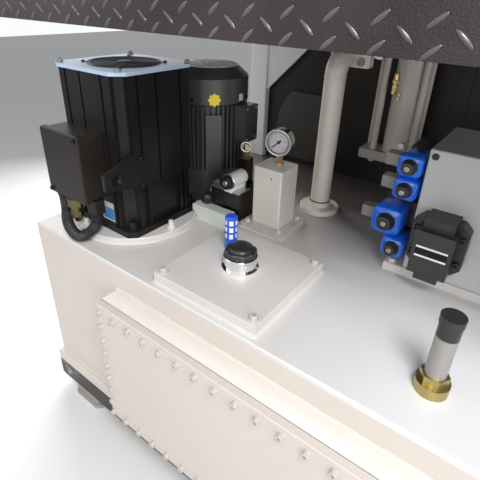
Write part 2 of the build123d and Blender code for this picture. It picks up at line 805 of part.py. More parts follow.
with BuildPart() as standpipe:
    with BuildSketch(Plane.XY.offset(tank_top_z)):
        with Locations((pipe_x, pipe_y)):
            Circle(pipe_flange_radius)
    extrude(amount=pipe_flange_height)
    chamfer(standpipe.edges().group_by(Axis.Z)[-1], pipe_flange_bevel)
    with BuildSketch(Plane.XY.offset(tank_top_z + pipe_flange_height)):
        with Locations((pipe_x, pipe_y)):
            Circle(pipe_socket_radius)
    extrude(amount=pipe_socket_height)
    with BuildSketch(Plane.XY.offset(tank_top_z)):
        with Locations((pipe_x, pipe_y)):
            Circle(pipe_bore)
    extrude(amount=pipe_flange_height + pipe_socket_height, mode=Mode.SUBTRACT)
    with BuildSketch(Plane.XY.offset(pipe_foot_z)):
        with Locations((pipe_x, pipe_y)):
            add(pipe_section.sketch)
    extrude(amount=pipe_bend_z - pipe_foot_z)
    with BuildSketch(Plane.XY.offset(pipe_bend_z)):
        with Locations((pipe_x, pipe_y)):
            add(pipe_section.sketch)
    revolve(axis=Axis((pipe_x, pipe_y + pipe_bend, pipe_bend_z), (-1, 0, 0)), revolution_arc=90)
    with BuildSketch(Plane.XZ.offset(-pipe_end_y)):
        with Locations((pipe_x, pipe_axis_z)):
            add(pipe_section.sketch)
    extrude(amount=pipe_end_y - pipe_y - pipe_bend)
    with BuildSketch(Plane.XZ.offset(-(pipe_end_y + end_flange_thickness))):
        with Locations((pipe_x + end_flange_shift, pipe_axis_z)):
            RectangleRounded(end_flange_length, end_flange_height, end_flange_corner)
        with Locations((pipe_x, pipe_axis_z)):
            Circle(end_bore, mode=Mode.SUBTRACT)
    extrude(amount=end_flange_thickness)

# valve manifold: drilled block with two ports in its right end
manifold_length = 230
manifold_depth = 210
manifold_height = 278
manifold_bevel = 2
port_radius = 10.5
port_depth = 30
port_spacing = 80
port_lift = 90
manifold_z = tank_top_z + manifold_base_height
manifold_mid_y = manifold_front + manifold_depth / 2
with BuildPart() as manifold_block:
    with BuildSketch(Plane.XY.offset(manifold_z)):
        with Locations((manifold_left + manifold_length / 2, manifold_mid_y)):
            Rectangle(manifold_length, manifold_depth)
    extrude(amount=manifold_height)
    chamfer(manifold_block.edges(), manifold_bevel)
    with BuildSketch(Plane.YZ.offset(manifold_left + manifold_length)):
        with Locations((manifold_mid_y, manifold_z + port_lift)):
            with GridLocations(port_spacing, port_spacing, 2, 1):
                Circle(port_radius)
    extrude(amount=-port_depth, mode=Mode.SUBTRACT)

# solenoid valves on the left face, from the top down: height, width, coil height, offset
coil_front_y = manifold_front - 2
coil_length = 68
valve_body_length = 86
valve_body_inset = 3
small_coil = 50
large_coil = 66
coil_rows = (
    (tank_top_z + 252, small_coil, 32),
    (tank_top_z + 200, small_coil, 32),
    (tank_top_z + 118, large_coil, 56),
    (tank_top_z + 58, small_coil, 32),
)
coil_squash = 4
coil_corner_share = 0.24
with BuildPart() as valve_bodies:
    for coil_z, coil, offset in coil_rows:
        with BuildSketch(Plane.YZ.offset(manifold_left)):
            with Locations((coil_front_y + coil_length + valve_body_length / 2, coil_z)):
                Rectangle(valve_body_length, coil - coil_squash)
        extrude(amount=-(offset + coil / 2 - valve_body_inset))

with BuildPart() as solenoid_coils:
    for coil_z, coil, offset in coil_rows:
        with BuildSketch(Plane.XZ.offset(-coil_front_y)):
            with Locations((manifold_left - offset, coil_z)):
                RectangleRounded(coil, coil - coil_squash, coil_corner_share * coil)
        extrude(amount=-coil_length)

nut_length = 18
nut_taper = 10
small_nut = 16.5
large_nut = 20
nut_sides = 20
with BuildPart() as coil_nuts:
    for coil_z, coil, offset in coil_rows:
        with BuildSketch(Plane.XZ.offset(-coil_front_y)):
            with Locations((manifold_left - offset, coil_z)):
                RegularPolygon(small_nut if coil == small_coil else large_nut, nut_sides)
        extrude(amount=nut_length, taper=nut_taper)

plug_size = 28
plug_reach = 30
plug_edge = 3
plug_back = 32
plug_lift = 2
with BuildPart() as coil_plugs:
    for coil_z, coil, offset in coil_rows[:3]:
        with BuildSketch(Plane.YZ.offset(manifold_left - offset - coil / 2 - seat_gap)):
            with Locations((coil_front_y + plug_back, coil_z + plug_lift)):
                RectangleRounded(plug_size, plug_size, plug_edge)
        extrude(amount=-plug_reach)

# directional valve on the front of the manifold: flange, body, cover and drain boss
valve_x = manifold_left + 60
valve_flange_length = 108
valve_flange_height = 114
valve_flange_corner = 16
valve_flange_depth = 30
valve_mid_z = tank_top_z + 114
valve_body_width = 74
valve_body_low_z = tank_top_z + 60
valve_body_high_z = tank_top_z + 156
valve_body_depth = 40
valve_cover_width = 58
valve_cover_height = 22
valve_cover_depth = 56
valve_boss_width = 46
valve_boss_depth = 34
valve_boss_low_z = tank_top_z + manifold_base_height + 24
with BuildPart() as directional_valve:
    with BuildSketch(Plane.XZ.offset(-manifold_front)) as valve_flange_sketch:
        with Locations((valve_x, valve_mid_z)):
            Rectangle(valve_flange_length, valve_flange_height)
        chamfer(valve_flange_sketch.vertices(), valve_flange_corner)
    extrude(amount=valve_flange_depth)
    with BuildSketch(Plane.XZ.offset(-manifold_front)):
        with Locations((valve_x, (valve_body_low_z + valve_body_high_z) / 2)):
            Rectangle(valve_body_width, valve_body_high_z - valve_body_low_z)
    extrude(amount=valve_flange_depth + valve_body_depth)
    with BuildSketch(Plane.XZ.offset(-manifold_front)):
        with Locations((valve_x, valve_body_high_z + valve_cover_height / 2)):
            Rectangle(valve_cover_width, valve_cover_height)
    extrude(amount=valve_cover_depth)
    with BuildSketch(Plane.XY.offset(valve_boss_low_z)):
        with Locations((valve_x, manifold_front - valve_flange_depth - valve_boss_depth / 2)):
            Rectangle(valve_boss_width, valve_boss_depth)
    extrude(amount=valve_body_low_z - valve_boss_low_z)

# hose union near the front edge: round base, nut, long sleeve and end cap
union_base_radius = 27
union_base_height = 20
union_nut = 23
union_nut_height = 16
union_sleeve_radius = 17
union_sleeve_height = 100
union_cap_radius = 18.5
union_cap_height = 14
union_steps = (
    (union_base_radius, union_base_height, 0),
    (union_nut, union_nut_height, 6),
    (union_sleeve_radius, union_sleeve_height, 0),
    (union_cap_radius, union_cap_height, 0),
)
with BuildPart() as union_fitting:
    union_z = tank_top_z
    for step_radius, step_height, step_sides in union_steps:
        with BuildSketch(Plane.XY.offset(union_z)):
            with Locations((union_x, union_y)):
                if step_sides:
                    RegularPolygon(step_radius, step_sides)
                else:
                    Circle(step_radius)
        extrude(amount=step_height)
        union_z = union_z + step_height

# deck over the tank: tread plate, skirt and the columns that carry it
deck_skirt_bottom_z = tank_top_z + 500
deck_top_z = tank_top_z + 560
deck_thickness = 8
skirt_thickness = 6
with BuildPart() as deck_plate:
    with BuildSketch(Plane.XY.offset(deck_top_z - deck_thickness)):
        with Locations((0, middle_y)):
            Rectangle(tank_length, tank_depth)
    extrude(amount=deck_thickness)

deck_under_z = deck_top_z - deck_thickness
with BuildPart() as deck_skirt:
    with BuildSketch(Plane.XY.offset(deck_skirt_bottom_z)):
        with Locations((0, middle_y)):
            Rectangle(tank_length, tank_depth)
            Rectangle(tank_length - 2 * skirt_thickness, tank_depth - 2 * skirt_thickness, mode=Mode.SUBTRACT)
    extrude(amount=deck_under_z - deck_skirt_bottom_z)

# box columns with a corner gusset each
column_size = 70
column_wall = 6
column_corner = 5
column_inset_x = 120
column_inset_y = skirt_thickness + 2 + column_size / 2
front_column_inset_y = 150
gusset_size = 300
gusset_thickness = 10
gusset_back = 12
column_places = (
    (left + column_inset_x, rear - column_inset_y, 1),
    (right - column_inset_x, rear - column_inset_y, -1),
    (right - column_inset_x, front + front_column_inset_y, -1),
)
with BuildPart() as deck_columns:
    with BuildSketch(Plane.XY.offset(tank_top_z)):
        with Locations(*[(x, y) for x, y, side in column_places]):
            RectangleRounded(column_size, column_size, column_corner)
            Rectangle(column_size - 2 * column_wall, column_size - 2 * column_wall, mode=Mode.SUBTRACT)
    extrude(amount=deck_under_z - tank_top_z)
    for column_x, column_y, side in column_places:
        gusset_x = column_x + side * column_size / 2
        gusset_y = column_y - column_size / 2 + gusset_back - gusset_thickness / 2
        with BuildSketch(Plane.XZ.offset(-gusset_y)):
            with BuildLine():
                Polyline(
                    (gusset_x, deck_under_z),
                    (gusset_x + side * gusset_size, deck_under_z),
                    (gusset_x, deck_under_z - gusset_size),
                    close=True,
                )
            make_face()
        extrude(amount=-gusset_thickness)

# black sheet between the rear columns, with pressed ribs and a hole for the oil line
guard_thickness = 3
guard_back = 24
guard_rib_depth = 6
guard_rib_width = 36
guard_rib_pitch = 200
guard_rib_count = 4
guard_hole_radius = 32
guard_y = rear - column_inset_y - column_size / 2 + guard_back
guard_length = tank_length - 2 * column_inset_x - column_size
guard_mid_z = (tank_top_z + deck_under_z) / 2
with BuildPart() as rear_guard:
    with BuildSketch(Plane.XZ.offset(-guard_y)):
        with Locations((0, guard_mid_z)):
            Rectangle(guard_length, deck_under_z - tank_top_z)
        with Locations((pipe_x, pipe_axis_z)):
            Circle(guard_hole_radius, mode=Mode.SUBTRACT)
    extrude(amount=-guard_thickness)
    with BuildSketch(Plane.XZ.offset(-guard_y)):
        with Locations((0, tank_top_z + (deck_skirt_bottom_z - tank_top_z) / 2)):
            with GridLocations(guard_rib_pitch, guard_rib_pitch, guard_rib_count, 1):
                Rectangle(guard_rib_width, deck_skirt_bottom_z - tank_top_z - 2 * guard_rib_width)
    extrude(amount=guard_rib_depth)

# tie-rod cylinder that hangs from the deck: end cap, barrel and rods
cylinder_foot_z = tank_top_z + 130
cylinder_cap_height = 27
cylinder_cap_length = 170
cylinder_cap_shift = -7
cylinder_cap_depth = 82
cylinder_cap_corner = 4
barrel_radius = 40
barrel_shift = 6
rod_radius = 9
rod_places = ((-55, -24), (52, -24), (52, 24))
guide_rod_place = (-85, 24)
guide_rod_radius = 5.5
rod_nut = 10
rod_nut_height = 9
rod_z = cylinder_foot_z + cylinder_cap_height
with BuildPart() as hanging_cylinder:
    with BuildSketch(Plane.XY.offset(cylinder_foot_z)):
        with Locations((cylinder_x + cylinder_cap_shift, cylinder_y)):
            RectangleRounded(cylinder_cap_length, cylinder_cap_depth, cylinder_cap_corner)
    extrude(amount=cylinder_cap_height)
    with BuildSketch(Plane.XY.offset(rod_z)):
        with Locations((cylinder_x + barrel_shift, cylinder_y)):
            Circle(barrel_radius)
        with Locations(*[(cylinder_x + x, cylinder_y + y) for x, y in rod_places]):
            Circle(rod_radius)
        with Locations((cylinder_x + guide_rod_place[0], cylinder_y + guide_rod_place[1])):
            Circle(guide_rod_radius)
    extrude(amount=deck_under_z - rod_z)
    with BuildSketch(Plane.XY.offset(cylinder_foot_z)):
        with Locations(*[(cylinder_x + x, cylinder_y + y) for x, y in rod_places]):
            RegularPolygon(rod_nut, 6)
    extrude(amount=-rod_nut_height)

nodes = {
    "levelling_mounts": levelling_mounts,
    "base_rails": base_rails,
    "bottom_plate": bottom_plate,
    "tank_shell": tank_shell,
    "tank_top": tank_top,
    "mounting_pads": mounting_pads,
    "cleanout_frame": cleanout_frame,
    "cleanout_cover": cleanout_cover,
    "servo_body": servo_body,
    "servo_cowl": servo_cowl,
    "servo_lid": servo_lid,
    "servo_fan_grille": servo_fan_grille,
    "servo_fan": servo_fan,
    "servo_terminal_box": servo_terminal_box,
    "servo_cable_gland": servo_cable_gland,
    "servo_cable": servo_cable,
    "servo_lifting_lugs": servo_lifting_lugs,
    "pump_motor_body": pump_motor_body,
    "pump_motor_cowl": pump_motor_cowl,
    "pump_motor_terminal_box": pump_motor_terminal_box,
    "filler_plate": filler_plate,
    "filler_neck": filler_neck,
    "filler_cap": filler_cap,
    "air_breather": air_breather,
    "gauge_post": gauge_post,
    "gauge_stem": gauge_stem,
    "gauge_case": gauge_case,
    "gauge_dial": gauge_dial,
    "valve_block": valve_block,
    "valve_solenoid": valve_solenoid,
    "relief_valve": relief_valve,
    "steel_block": steel_block,
    "standpipe": standpipe,
    "manifold_block": manifold_block,
    "valve_bodies": valve_bodies,
    "solenoid_coils": solenoid_coils,
    "coil_nuts": coil_nuts,
    "coil_plugs": coil_plugs,
    "directional_valve": directional_valve,
    "union_fitting": union_fitting,
    "deck_plate": deck_plate,
    "deck_skirt": deck_skirt,
    "deck_columns": deck_columns,
    "rear_guard": rear_guard,
    "hanging_cylinder": hanging_cylinder,
}
for name, built in nodes.items():
    built.part.label = name
    export_step(built.part, "parts/" + name + ".step")
    print(name, round(built.part.volume), len(built.part.solids()))
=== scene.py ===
# %% [markdown]
# # Hydraulic power unit of a vertical injection molding machine
# The solids come in finished from the frame. This notebook gives them their paint, metal and
# plastic, adds the bolts, weld beads, gauge needle and other small parts, and lights the scene.
# Lengths are written in millimetres, as on the drawing, and turned into metres at the end.

# %% Open the frame
import bmesh
import bpy
import numpy as np
from mathutils import Matrix, Vector


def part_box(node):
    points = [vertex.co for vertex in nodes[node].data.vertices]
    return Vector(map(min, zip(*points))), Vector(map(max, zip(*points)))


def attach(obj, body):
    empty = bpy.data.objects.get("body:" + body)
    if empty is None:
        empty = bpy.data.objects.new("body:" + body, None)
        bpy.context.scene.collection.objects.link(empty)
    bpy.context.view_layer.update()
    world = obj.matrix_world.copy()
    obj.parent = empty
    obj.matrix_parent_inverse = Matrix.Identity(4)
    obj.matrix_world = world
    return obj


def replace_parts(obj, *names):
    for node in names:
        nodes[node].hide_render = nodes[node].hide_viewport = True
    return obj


MM = 0.001
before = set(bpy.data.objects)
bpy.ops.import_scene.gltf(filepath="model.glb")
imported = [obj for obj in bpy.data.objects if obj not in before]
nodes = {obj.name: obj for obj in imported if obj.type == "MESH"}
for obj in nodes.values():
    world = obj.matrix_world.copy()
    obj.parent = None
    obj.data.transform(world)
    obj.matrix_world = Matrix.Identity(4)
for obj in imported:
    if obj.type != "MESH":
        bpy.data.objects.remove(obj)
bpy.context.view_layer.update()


def box_mm(name):
    """The two corners of a solid's box, each length in metres divided by 0.001."""
    low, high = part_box(name)
    return np.array(low) / MM, np.array(high) / MM


top_z = box_mm("mounting_pads")[0][2]
print("solids in the frame:", len(nodes), "and the tank's top is at", round(top_z), "mm")

# %% [markdown]
# ## Camera
# The photograph was taken from the front right, about half a metre over the tank's top. Its
# place and its two directions were worked out from the tank's edges, so the matrix is written
# down directly. Aiming the camera at a target would lose the slight roll of the picture.

# %% Camera
camera_place = Vector((0.3213, -0.4963, 1.154))
look_right = Vector((0.79594, 0.60474, 0.02773))
look_up = Vector((-0.29771, 0.35113, 0.88774))
frame_pixels = 480
focal_pixels = 420.46
horizon_pixels = -27

cam_data = bpy.data.cameras.new("camera")
cam = bpy.data.objects.new("camera", cam_data)
bpy.context.scene.collection.objects.link(cam)
back = look_right.cross(look_up)
cam.matrix_world = Matrix((
    (look_right.x, look_up.x, back.x, camera_place.x),
    (look_right.y, look_up.y, back.y, camera_place.y),
    (look_right.z, look_up.z, back.z, camera_place.z),
    (0, 0, 0, 1)))
cam_data.sensor_width = 36
cam_data.lens = focal_pixels / frame_pixels * cam_data.sensor_width
cam_data.shift_y = horizon_pixels / frame_pixels
cam_data.clip_start = 0.01
bpy.context.scene.camera = cam
print("lens", round(cam_data.lens, 2))

# %% [markdown]
# ## Shader maths
# A finish changes a little from place to place: cloudy paint, dust, scratches. Each change is a
# number on the surface. Wrapping a node's socket in a small class lets that maths be written as
# ordinary expressions, which read better than a long list of nodes and links.

# %% Numbers on a surface
class Signal:
    """A number that changes over a surface; each operator adds the Math node of its name."""

    def __init__(self, finish, socket):
        self.finish = finish
        self.socket = socket

    def math(self, operation, first, second):
        """The Math node of that name over two numbers, each one fixed or a signal."""
        made = self.finish.node("ShaderNodeMath", {"operation": operation}, first, second)
        return Signal(self.finish, made.outputs[0])

    def __add__(self, other):
        return self.math("ADD", self, other)

    def __sub__(self, other):
        return self.math("SUBTRACT", self, other)

    def __rsub__(self, other):
        return self.math("SUBTRACT", other, self)

    def __mul__(self, other):
        return self.math("MULTIPLY", self, other)

    __radd__ = __add__
    __rmul__ = __mul__


print("signals can be added, subtracted and multiplied")

# %% [markdown]
# A finish is one material. It could be built node by node in the editor, but the same few steps
# come back in each: read a noise, cut a mask out of it or out of a height, lay a second colour
# over the first, and bump the surface. So each step is a method here.

# %% Finishes
class Finish:
    """A material: plain sockets by name, and methods that add what changes over the surface."""

    def __init__(self, name, colour, **sockets):
        self.material = bpy.data.materials.new(name)
        self.material.use_nodes = True
        self.tree = self.material.node_tree
        self.shader = self.tree.nodes["Principled BSDF"]
        self.shader.inputs["Base Color"].default_value = (*colour, 1)
        for label, value in sockets.items():
            label = label.replace("_", " ").title().replace("Ior", "IOR")
            self.shader.inputs[label].default_value = value
        self.place = self.node("ShaderNodeTexCoord", {}).outputs["Object"]

    def node(self, kind, settings, *values, **named):
        """A node whose inputs are numbers or links, given in order or by name."""
        made = self.tree.nodes.new(kind)
        for label, setting in settings.items():
            setattr(made, label, setting)
        for key, value in [*enumerate(values), *named.items()]:
            value = value.socket if isinstance(value, Signal) else value
            if isinstance(value, bpy.types.NodeSocket):
                self.tree.links.new(value, made.inputs[key])
            else:
                made.inputs[key].default_value = value
        return made

    def noise(self, scale, detail=3.0, rough=0.55, stretch=(1, 1, 1), turn=(0, 0, 0)):
        """A noise from 0 to 1; scale is how many of its lumps fit in a metre."""
        where = self.node("ShaderNodeMapping", {}, self.place, Scale=stretch, Rotation=turn)
        named = {"Vector": where.outputs[0], "Scale": scale, "Detail": detail, "Roughness": rough}
        return Signal(self, self.node("ShaderNodeTexNoise", {}, **named).outputs[0])

    def axis(self, number):
        """A point's x, y or z in metres, for the number 0, 1 or 2."""
        parts = self.node("ShaderNodeSeparateXYZ", {}, self.place)
        return Signal(self, parts.outputs[number])

    def step(self, signal, start, full):
        """0 up to start, 1 from full on and a straight ramp between them, rising or falling."""
        made = self.node("ShaderNodeMapRange", {"clamp": True}, signal, start, full, 0.0, 1.0)
        return Signal(self, made.outputs[0])

    def zone(self, number, start_mm, full_mm):
        """A step along one axis, with its two ends in millimetres."""
        return self.step(self.axis(number), start_mm * MM, full_mm * MM)

    def tint(self, mask, colour):
        """Lays a second colour over what is there, as much as the mask says."""
        base = self.shader.inputs["Base Color"]
        under = base.links[0].from_socket if base.links else base.default_value[:]
        mixed = self.node("ShaderNodeMix", {"data_type": "RGBA"})
        for slot, value in ((0, mask.socket), (6, under), (7, (*colour, 1))):
            if isinstance(value, bpy.types.NodeSocket):
                self.tree.links.new(value, mixed.inputs[slot])
            else:
                mixed.inputs[slot].default_value = value
        self.tree.links.new(mixed.outputs[2], base)

    def feed(self, label, signal):
        """Lets a signal set one of the shader's values."""
        self.tree.links.new(signal.socket, self.shader.inputs[label])

    def relief(self, height, depth_mm):
        """Bumps of the given depth."""
        bump = self.node("ShaderNodeBump", {}, Height=height, Distance=depth_mm * MM, Strength=1.0)
        self.tree.links.new(bump.outputs[0], self.shader.inputs["Normal"])


print("finishes can be tinted, fed and bumped")

# %% [markdown]
# ## Paints
# The tank carries a cream paint, sprayed on sheet steel. Such paint has three scales:
# slow clouds where the coat is thicker, a fine orange peel in the gloss, and specks of dirt. The
# three noises are the same for every painted piece and differ in strength, so one function makes
# them all.

# %% Paint maker
cloud_scale, peel_scale, speck_scale = 3.5, 420, 75


def painted(name, colour, rough, cloud=0.5, peel=0.03, dirt=0.3, dirt_colour=(0.20, 0.17, 0.14),
            **sockets):
    """Clouds and specks of dirt lie over the colour and dull the gloss; the peel is a bump."""
    finish = Finish(name, colour, **sockets)
    clouds = finish.noise(cloud_scale, 4)
    specks = finish.step(finish.noise(speck_scale, 5, 0.75), 0.70, 0.78)
    finish.tint(finish.step(clouds, 0.35, 0.75) * (0.14 * cloud), dirt_colour)
    finish.tint(specks * dirt, dirt_colour)
    finish.feed("Roughness", rough + 0.16 * cloud * (clouds - 0.5) + 0.2 * specks)
    finish.relief(finish.noise(peel_scale, 2), peel)
    return finish


cream = painted("cream_paint", (0.60, 0.545, 0.50), 0.38, dirt=0.25)
# A darker copy of the cream: painted shade on the screw heads and in their sockets.
shaded_screw_cream = painted("shaded_screw_paint", (0.50, 0.455, 0.42), 0.34, dirt=0.3, dirt_colour=(0.25, 0.23, 0.21))
pipe_cream = painted("pipe_paint", (0.76, 0.70, 0.63), 0.38, cloud=0.8)
column_grey = painted("column_paint", (0.93, 0.915, 0.89), 0.45, dirt=0.2)
print("paint maker and the plain creams")

# %% [markdown]
# Some painted pieces change where they meet their neighbour, are oiled, or carry painted light and
# shade. The hatch frame is a lighter copy of the tank's cream, with a painted highlight that grows
# pale towards its front rim, and shows the dark line of the gasket there. The post's foot is
# greyer than its top, and its top face carries a painted highlight. The tank's flat top is a
# greyer, cooler copy of the cream for the cooler light on it, with a painted pool of light and sky
# reflection at the front right, oil and painted shade from the deck along its middle, and at the
# back a nearly black painted shadow that also stands for the dark hoses left out there. A mask
# along an axis picks each place, and a noise added to the axis makes an edge wander.

# %% Worn creams
# A lighter copy of the tank's cream, standing in for the overhead light on the frame.
lit_frame_cream = painted("lit_hatch_frame_paint", (0.62, 0.575, 0.535), 0.28, cloud=1.0, dirt=0.2)
frame_low, frame_high = box_mm("cleanout_frame")
highlight_edge = lit_frame_cream.axis(1) + 0.004 * (lit_frame_cream.noise(9, 4) - 0.5)
# Painted highlight: the frame grows pale towards its front rim.
painted_highlight = lit_frame_cream.step(highlight_edge, (frame_high[1] - 4) * MM, (frame_low[1] + 12) * MM)
lit_frame_cream.tint(painted_highlight * 0.8, (0.78, 0.755, 0.73))
lit_frame_cream.tint(lit_frame_cream.zone(1, frame_low[1] + 1.6, frame_low[1] + 1.3), (0.16, 0.15, 0.14))

post_cream = painted("post_paint", (0.68, 0.63, 0.58), 0.34, cloud=0.6)
post_low, post_high = box_mm("gauge_post")
post_cream.tint(post_cream.zone(2, top_z + 19, top_z + 15), (0.50, 0.485, 0.475))
# Painted highlight: the post's top face is made nearly white.
post_cream.tint(post_cream.zone(2, post_high[2] - 0.4, post_high[2] - 0.1), (0.93, 0.90, 0.88))

# A greyer, cooler copy of the tank's cream, painted for the cooler light on the top.
top_cream = painted("tank_top_paint", (0.60, 0.585, 0.57), 0.32, cloud=0.9, dirt=0.5, peel=0.05)
flat_top = top_cream.zone(2, top_z + 4.5, top_z + 3.5)
# Painted light: a pale bluish pool of light and sky reflection at the front right.
painted_light_front = top_cream.zone(0, -50, 250) * top_cream.zone(1, 340, 320)
# Oil, with painted shade from the deck's edge behind it.
oil_and_shade = top_cream.step(top_cream.axis(1) + 0.10 * (top_cream.noise(5, 3) - 0.5), 0.32, 0.42)
# Painted shadow, nearly black, that also stands for the hoses left out behind the post.
rear_shadow_and_hoses = top_cream.step(top_cream.axis(1) + 0.12 * (top_cream.noise(7, 4) - 0.5), 0.48, 0.62)
top_cream.tint(flat_top * painted_light_front * 0.5, (0.78, 0.80, 0.86))
top_cream.tint(flat_top * oil_and_shade * 0.75, (0.36, 0.34, 0.33))
top_cream.tint(flat_top * rear_shadow_and_hoses * 0.88, (0.10, 0.085, 0.078))
print("creams with masks: hatch frame, gauge post, tank top")

# %% [markdown]
# The machine's dark paints differ less in colour than in gloss: the servo motor shines, the
# rear guard is dull, and the deck is coarse and greyed by boots. A darker colour alone would
# still shine grey, so most of them also have their specular level set.

# %% Dark paints
servo_black = painted("servo_black", (0.0062, 0.0056, 0.0056), 0.34, cloud=0.5, peel=0.04, dirt=0.06,
                      dirt_colour=(0.2, 0.19, 0.18), specular_ior_level=0.22)
box_black = painted("box_black", (0.011, 0.0085, 0.0072), 0.38, cloud=0.4, peel=0.05, dirt=0.08,
                    specular_ior_level=0.25)
motor_grey = painted("motor_grey", (0.060, 0.055, 0.053), 0.32, cloud=0.9, dirt=0.25,
                     dirt_colour=(0.25, 0.24, 0.22))
tread_worn = painted("tread_worn", (0.060, 0.048, 0.050), 0.20, cloud=0.8, dirt=0.4,
                     dirt_colour=(0.45, 0.42, 0.42))
deck_black = painted("deck_black", (0.017, 0.0115, 0.013), 0.36, cloud=0.8, peel=0.6, dirt=0.4,
                     dirt_colour=(0.26, 0.22, 0.22), specular_ior_level=0.30)
knob_black = painted("knob_black", (0.012, 0.011, 0.0115), 0.30, cloud=0.4, dirt=0.1,
                     specular_ior_level=0.35)
valve_black = painted("valve_black", (0.021, 0.019, 0.019), 0.36, cloud=0.4, dirt=0.2)
guard_black = painted("guard_black", (0.009, 0.0065, 0.006), 0.50, cloud=0.7, dirt=0.10,
                      specular_ior_level=0.3)
panel_grey = painted("panel_grey", (0.034, 0.030, 0.028), 0.45, cloud=0.7, dirt=0.15)
print("dark paints made")

# %% [markdown]
# The pale and coloured paints and the printed labels are cleaner, because they sit on bought
# parts. The cylinder's end plate is a little darker than its barrel.

# %% Pale and coloured paints
servo_lid_blue = painted("servo_lid_blue", (0.52, 0.67, 0.88), 0.24, cloud=0.2, peel=0.01, dirt=0.06,
                         specular_ior_level=0.3, coat_weight=0.0)
block_grey = painted("block_grey", (0.50, 0.51, 0.505), 0.36, cloud=0.5, dirt=0.2)
steel_green = painted("steel_green", (0.62, 0.66, 0.63), 0.34, cloud=0.4, dirt=0.15)
foot_grey = painted("foot_grey", (0.30, 0.29, 0.28), 0.55, cloud=1.0, dirt=0.5)
solenoid_grey = painted("solenoid_grey", (0.80, 0.79, 0.76), 0.22, cloud=0.5, dirt=0.2)
cylinder_grey = painted("cylinder_grey", (0.56, 0.52, 0.475), 0.36, cloud=0.7, dirt=0.2)
cylinder_grey.tint(cylinder_grey.zone(2, top_z + 160, top_z + 159), (0.42, 0.40, 0.38))
coil_blue = painted("coil_blue", (0.010, 0.150, 0.80), 0.20, cloud=0.3, peel=0.03, dirt=0.04,
                    coat_weight=0.3)
breather_blue = painted("breather_blue", (0.020, 0.090, 0.60), 0.20, cloud=0.2, peel=0.01, dirt=0.0)
sticker_yellow = painted("sticker_yellow", (0.93, 0.78, 0.03), 0.45, dirt=0.03)
label_pale = painted("label_pale", (0.78, 0.79, 0.80), 0.40, dirt=0.05)
label_blue = painted("label_blue", (0.07, 0.30, 0.72), 0.35, dirt=0.05)
filter_white = painted("filter_white", (0.85, 0.87, 0.92), 0.6, dirt=0.0)
print("pale and coloured paints made")

# %% [markdown]
# The rail's black paint is scraped down to bright steel at its left end, where forks have rubbed
# it. A noise turned off the axes gives slanting scrapes, and a mask keeps them at that end.

# %% Rail paint
rail_black = painted("rail_black", (0.015, 0.012, 0.012), 0.42, cloud=0.8, specular_ior_level=0.35)
scrapes = rail_black.noise(14, 6, 0.75, stretch=(1, 1, 3), turn=(0, 0.5, 0))
rail_black.tint(rail_black.step(scrapes, 0.56, 0.60) * rail_black.zone(0, -620, -700), (0.62, 0.60, 0.58))
print("rail paint made")

# %% [markdown]
# ## Metals, plastics and rubber
# These take their look from the gloss more than from the colour. A fine grain and slow stains
# in the gloss are enough for turned and cast parts alike. Polished ones have a coarser grain,
# so the metal maker takes the scale of its noise.

# %% Metals
def metal(name, colour, rough, scale=160):
    """A metal with stains of half its colour and a grain in its gloss."""
    finish = Finish(name, colour, metallic=1.0)
    grain = finish.noise(scale, 3, 0.6)
    stain = finish.noise(12, 4)
    finish.tint(finish.step(stain, 0.5, 0.8) * 0.35, tuple(0.5 * part for part in colour))
    finish.feed("Roughness", rough + 0.14 * (grain - 0.5) + 0.1 * stain)
    finish.relief(grain, 0.02)
    return finish


brass = metal("brass", (0.60, 0.44, 0.20), 0.28)
old_brass = metal("old_brass", (0.15, 0.135, 0.065), 0.34, scale=90)
relief_bronze = metal("relief_bronze", (0.34, 0.28, 0.17), 0.30)
relief_bronze.tint(relief_bronze.zone(2, top_z + 163, top_z + 162), (0.045, 0.038, 0.034))
chrome = metal("chrome", (0.86, 0.86, 0.86), 0.05, scale=40)
worn_chrome = metal("worn_chrome", (0.42, 0.41, 0.40), 0.14, scale=40)
bright_steel = metal("bright_steel", (0.62, 0.61, 0.60), 0.24)
pin_steel = metal("pin_steel", (0.36, 0.35, 0.33), 0.36)
black_steel = metal("black_steel", (0.055, 0.052, 0.05), 0.34)
print("metals made")

# %% [markdown]
# Plastic and rubber have a fine moulded grain under a veil of dust. The galvanised mesh and the
# zinc nuts are made here too, because zinc is a pale dull coat more than a mirror.

# %% Plastics
def plastic(name, colour, rough, **sockets):
    """A moulded grain as a bump, and dust that pales the colour and dulls the gloss."""
    finish = Finish(name, colour, **sockets)
    dust = finish.noise(18, 4)
    finish.tint(finish.step(dust, 0.5, 0.8) * 0.10, (0.35, 0.33, 0.31))
    finish.feed("Roughness", rough + 0.15 * (dust - 0.5))
    finish.relief(finish.noise(600, 2), 0.03)
    return finish


mesh_steel = plastic("mesh_steel", (0.96, 0.96, 0.97), 0.24, coat_weight=0.6)
nut_steel = plastic("nut_steel", (0.30, 0.30, 0.31), 0.38, coat_weight=0.3)
black_plastic = plastic("black_plastic", (0.020, 0.020, 0.021), 0.34)
wire_black = plastic("wire_black", (0.045, 0.043, 0.042), 0.40, specular_ior_level=0.4)
black_rubber = plastic("black_rubber", (0.018, 0.017, 0.0165), 0.50, specular_ior_level=0.35)
plug_grey = plastic("plug_grey", (0.20, 0.19, 0.18), 0.22, coat_weight=0.4)
dial_white = plastic("dial_white", (0.55, 0.53, 0.56), 0.45)
ink_black = plastic("ink_black", (0.006, 0.006, 0.006), 0.6, specular_ior_level=0.1)
fan_black = plastic("fan_black", (0.050, 0.048, 0.047), 0.40)
print("plastics and rubber made")

# %% [markdown]
# The union at the front right is brass at its nut, a crumpled grey sleeve above it and a black
# cap at the end. It is one solid, so heights part the three.

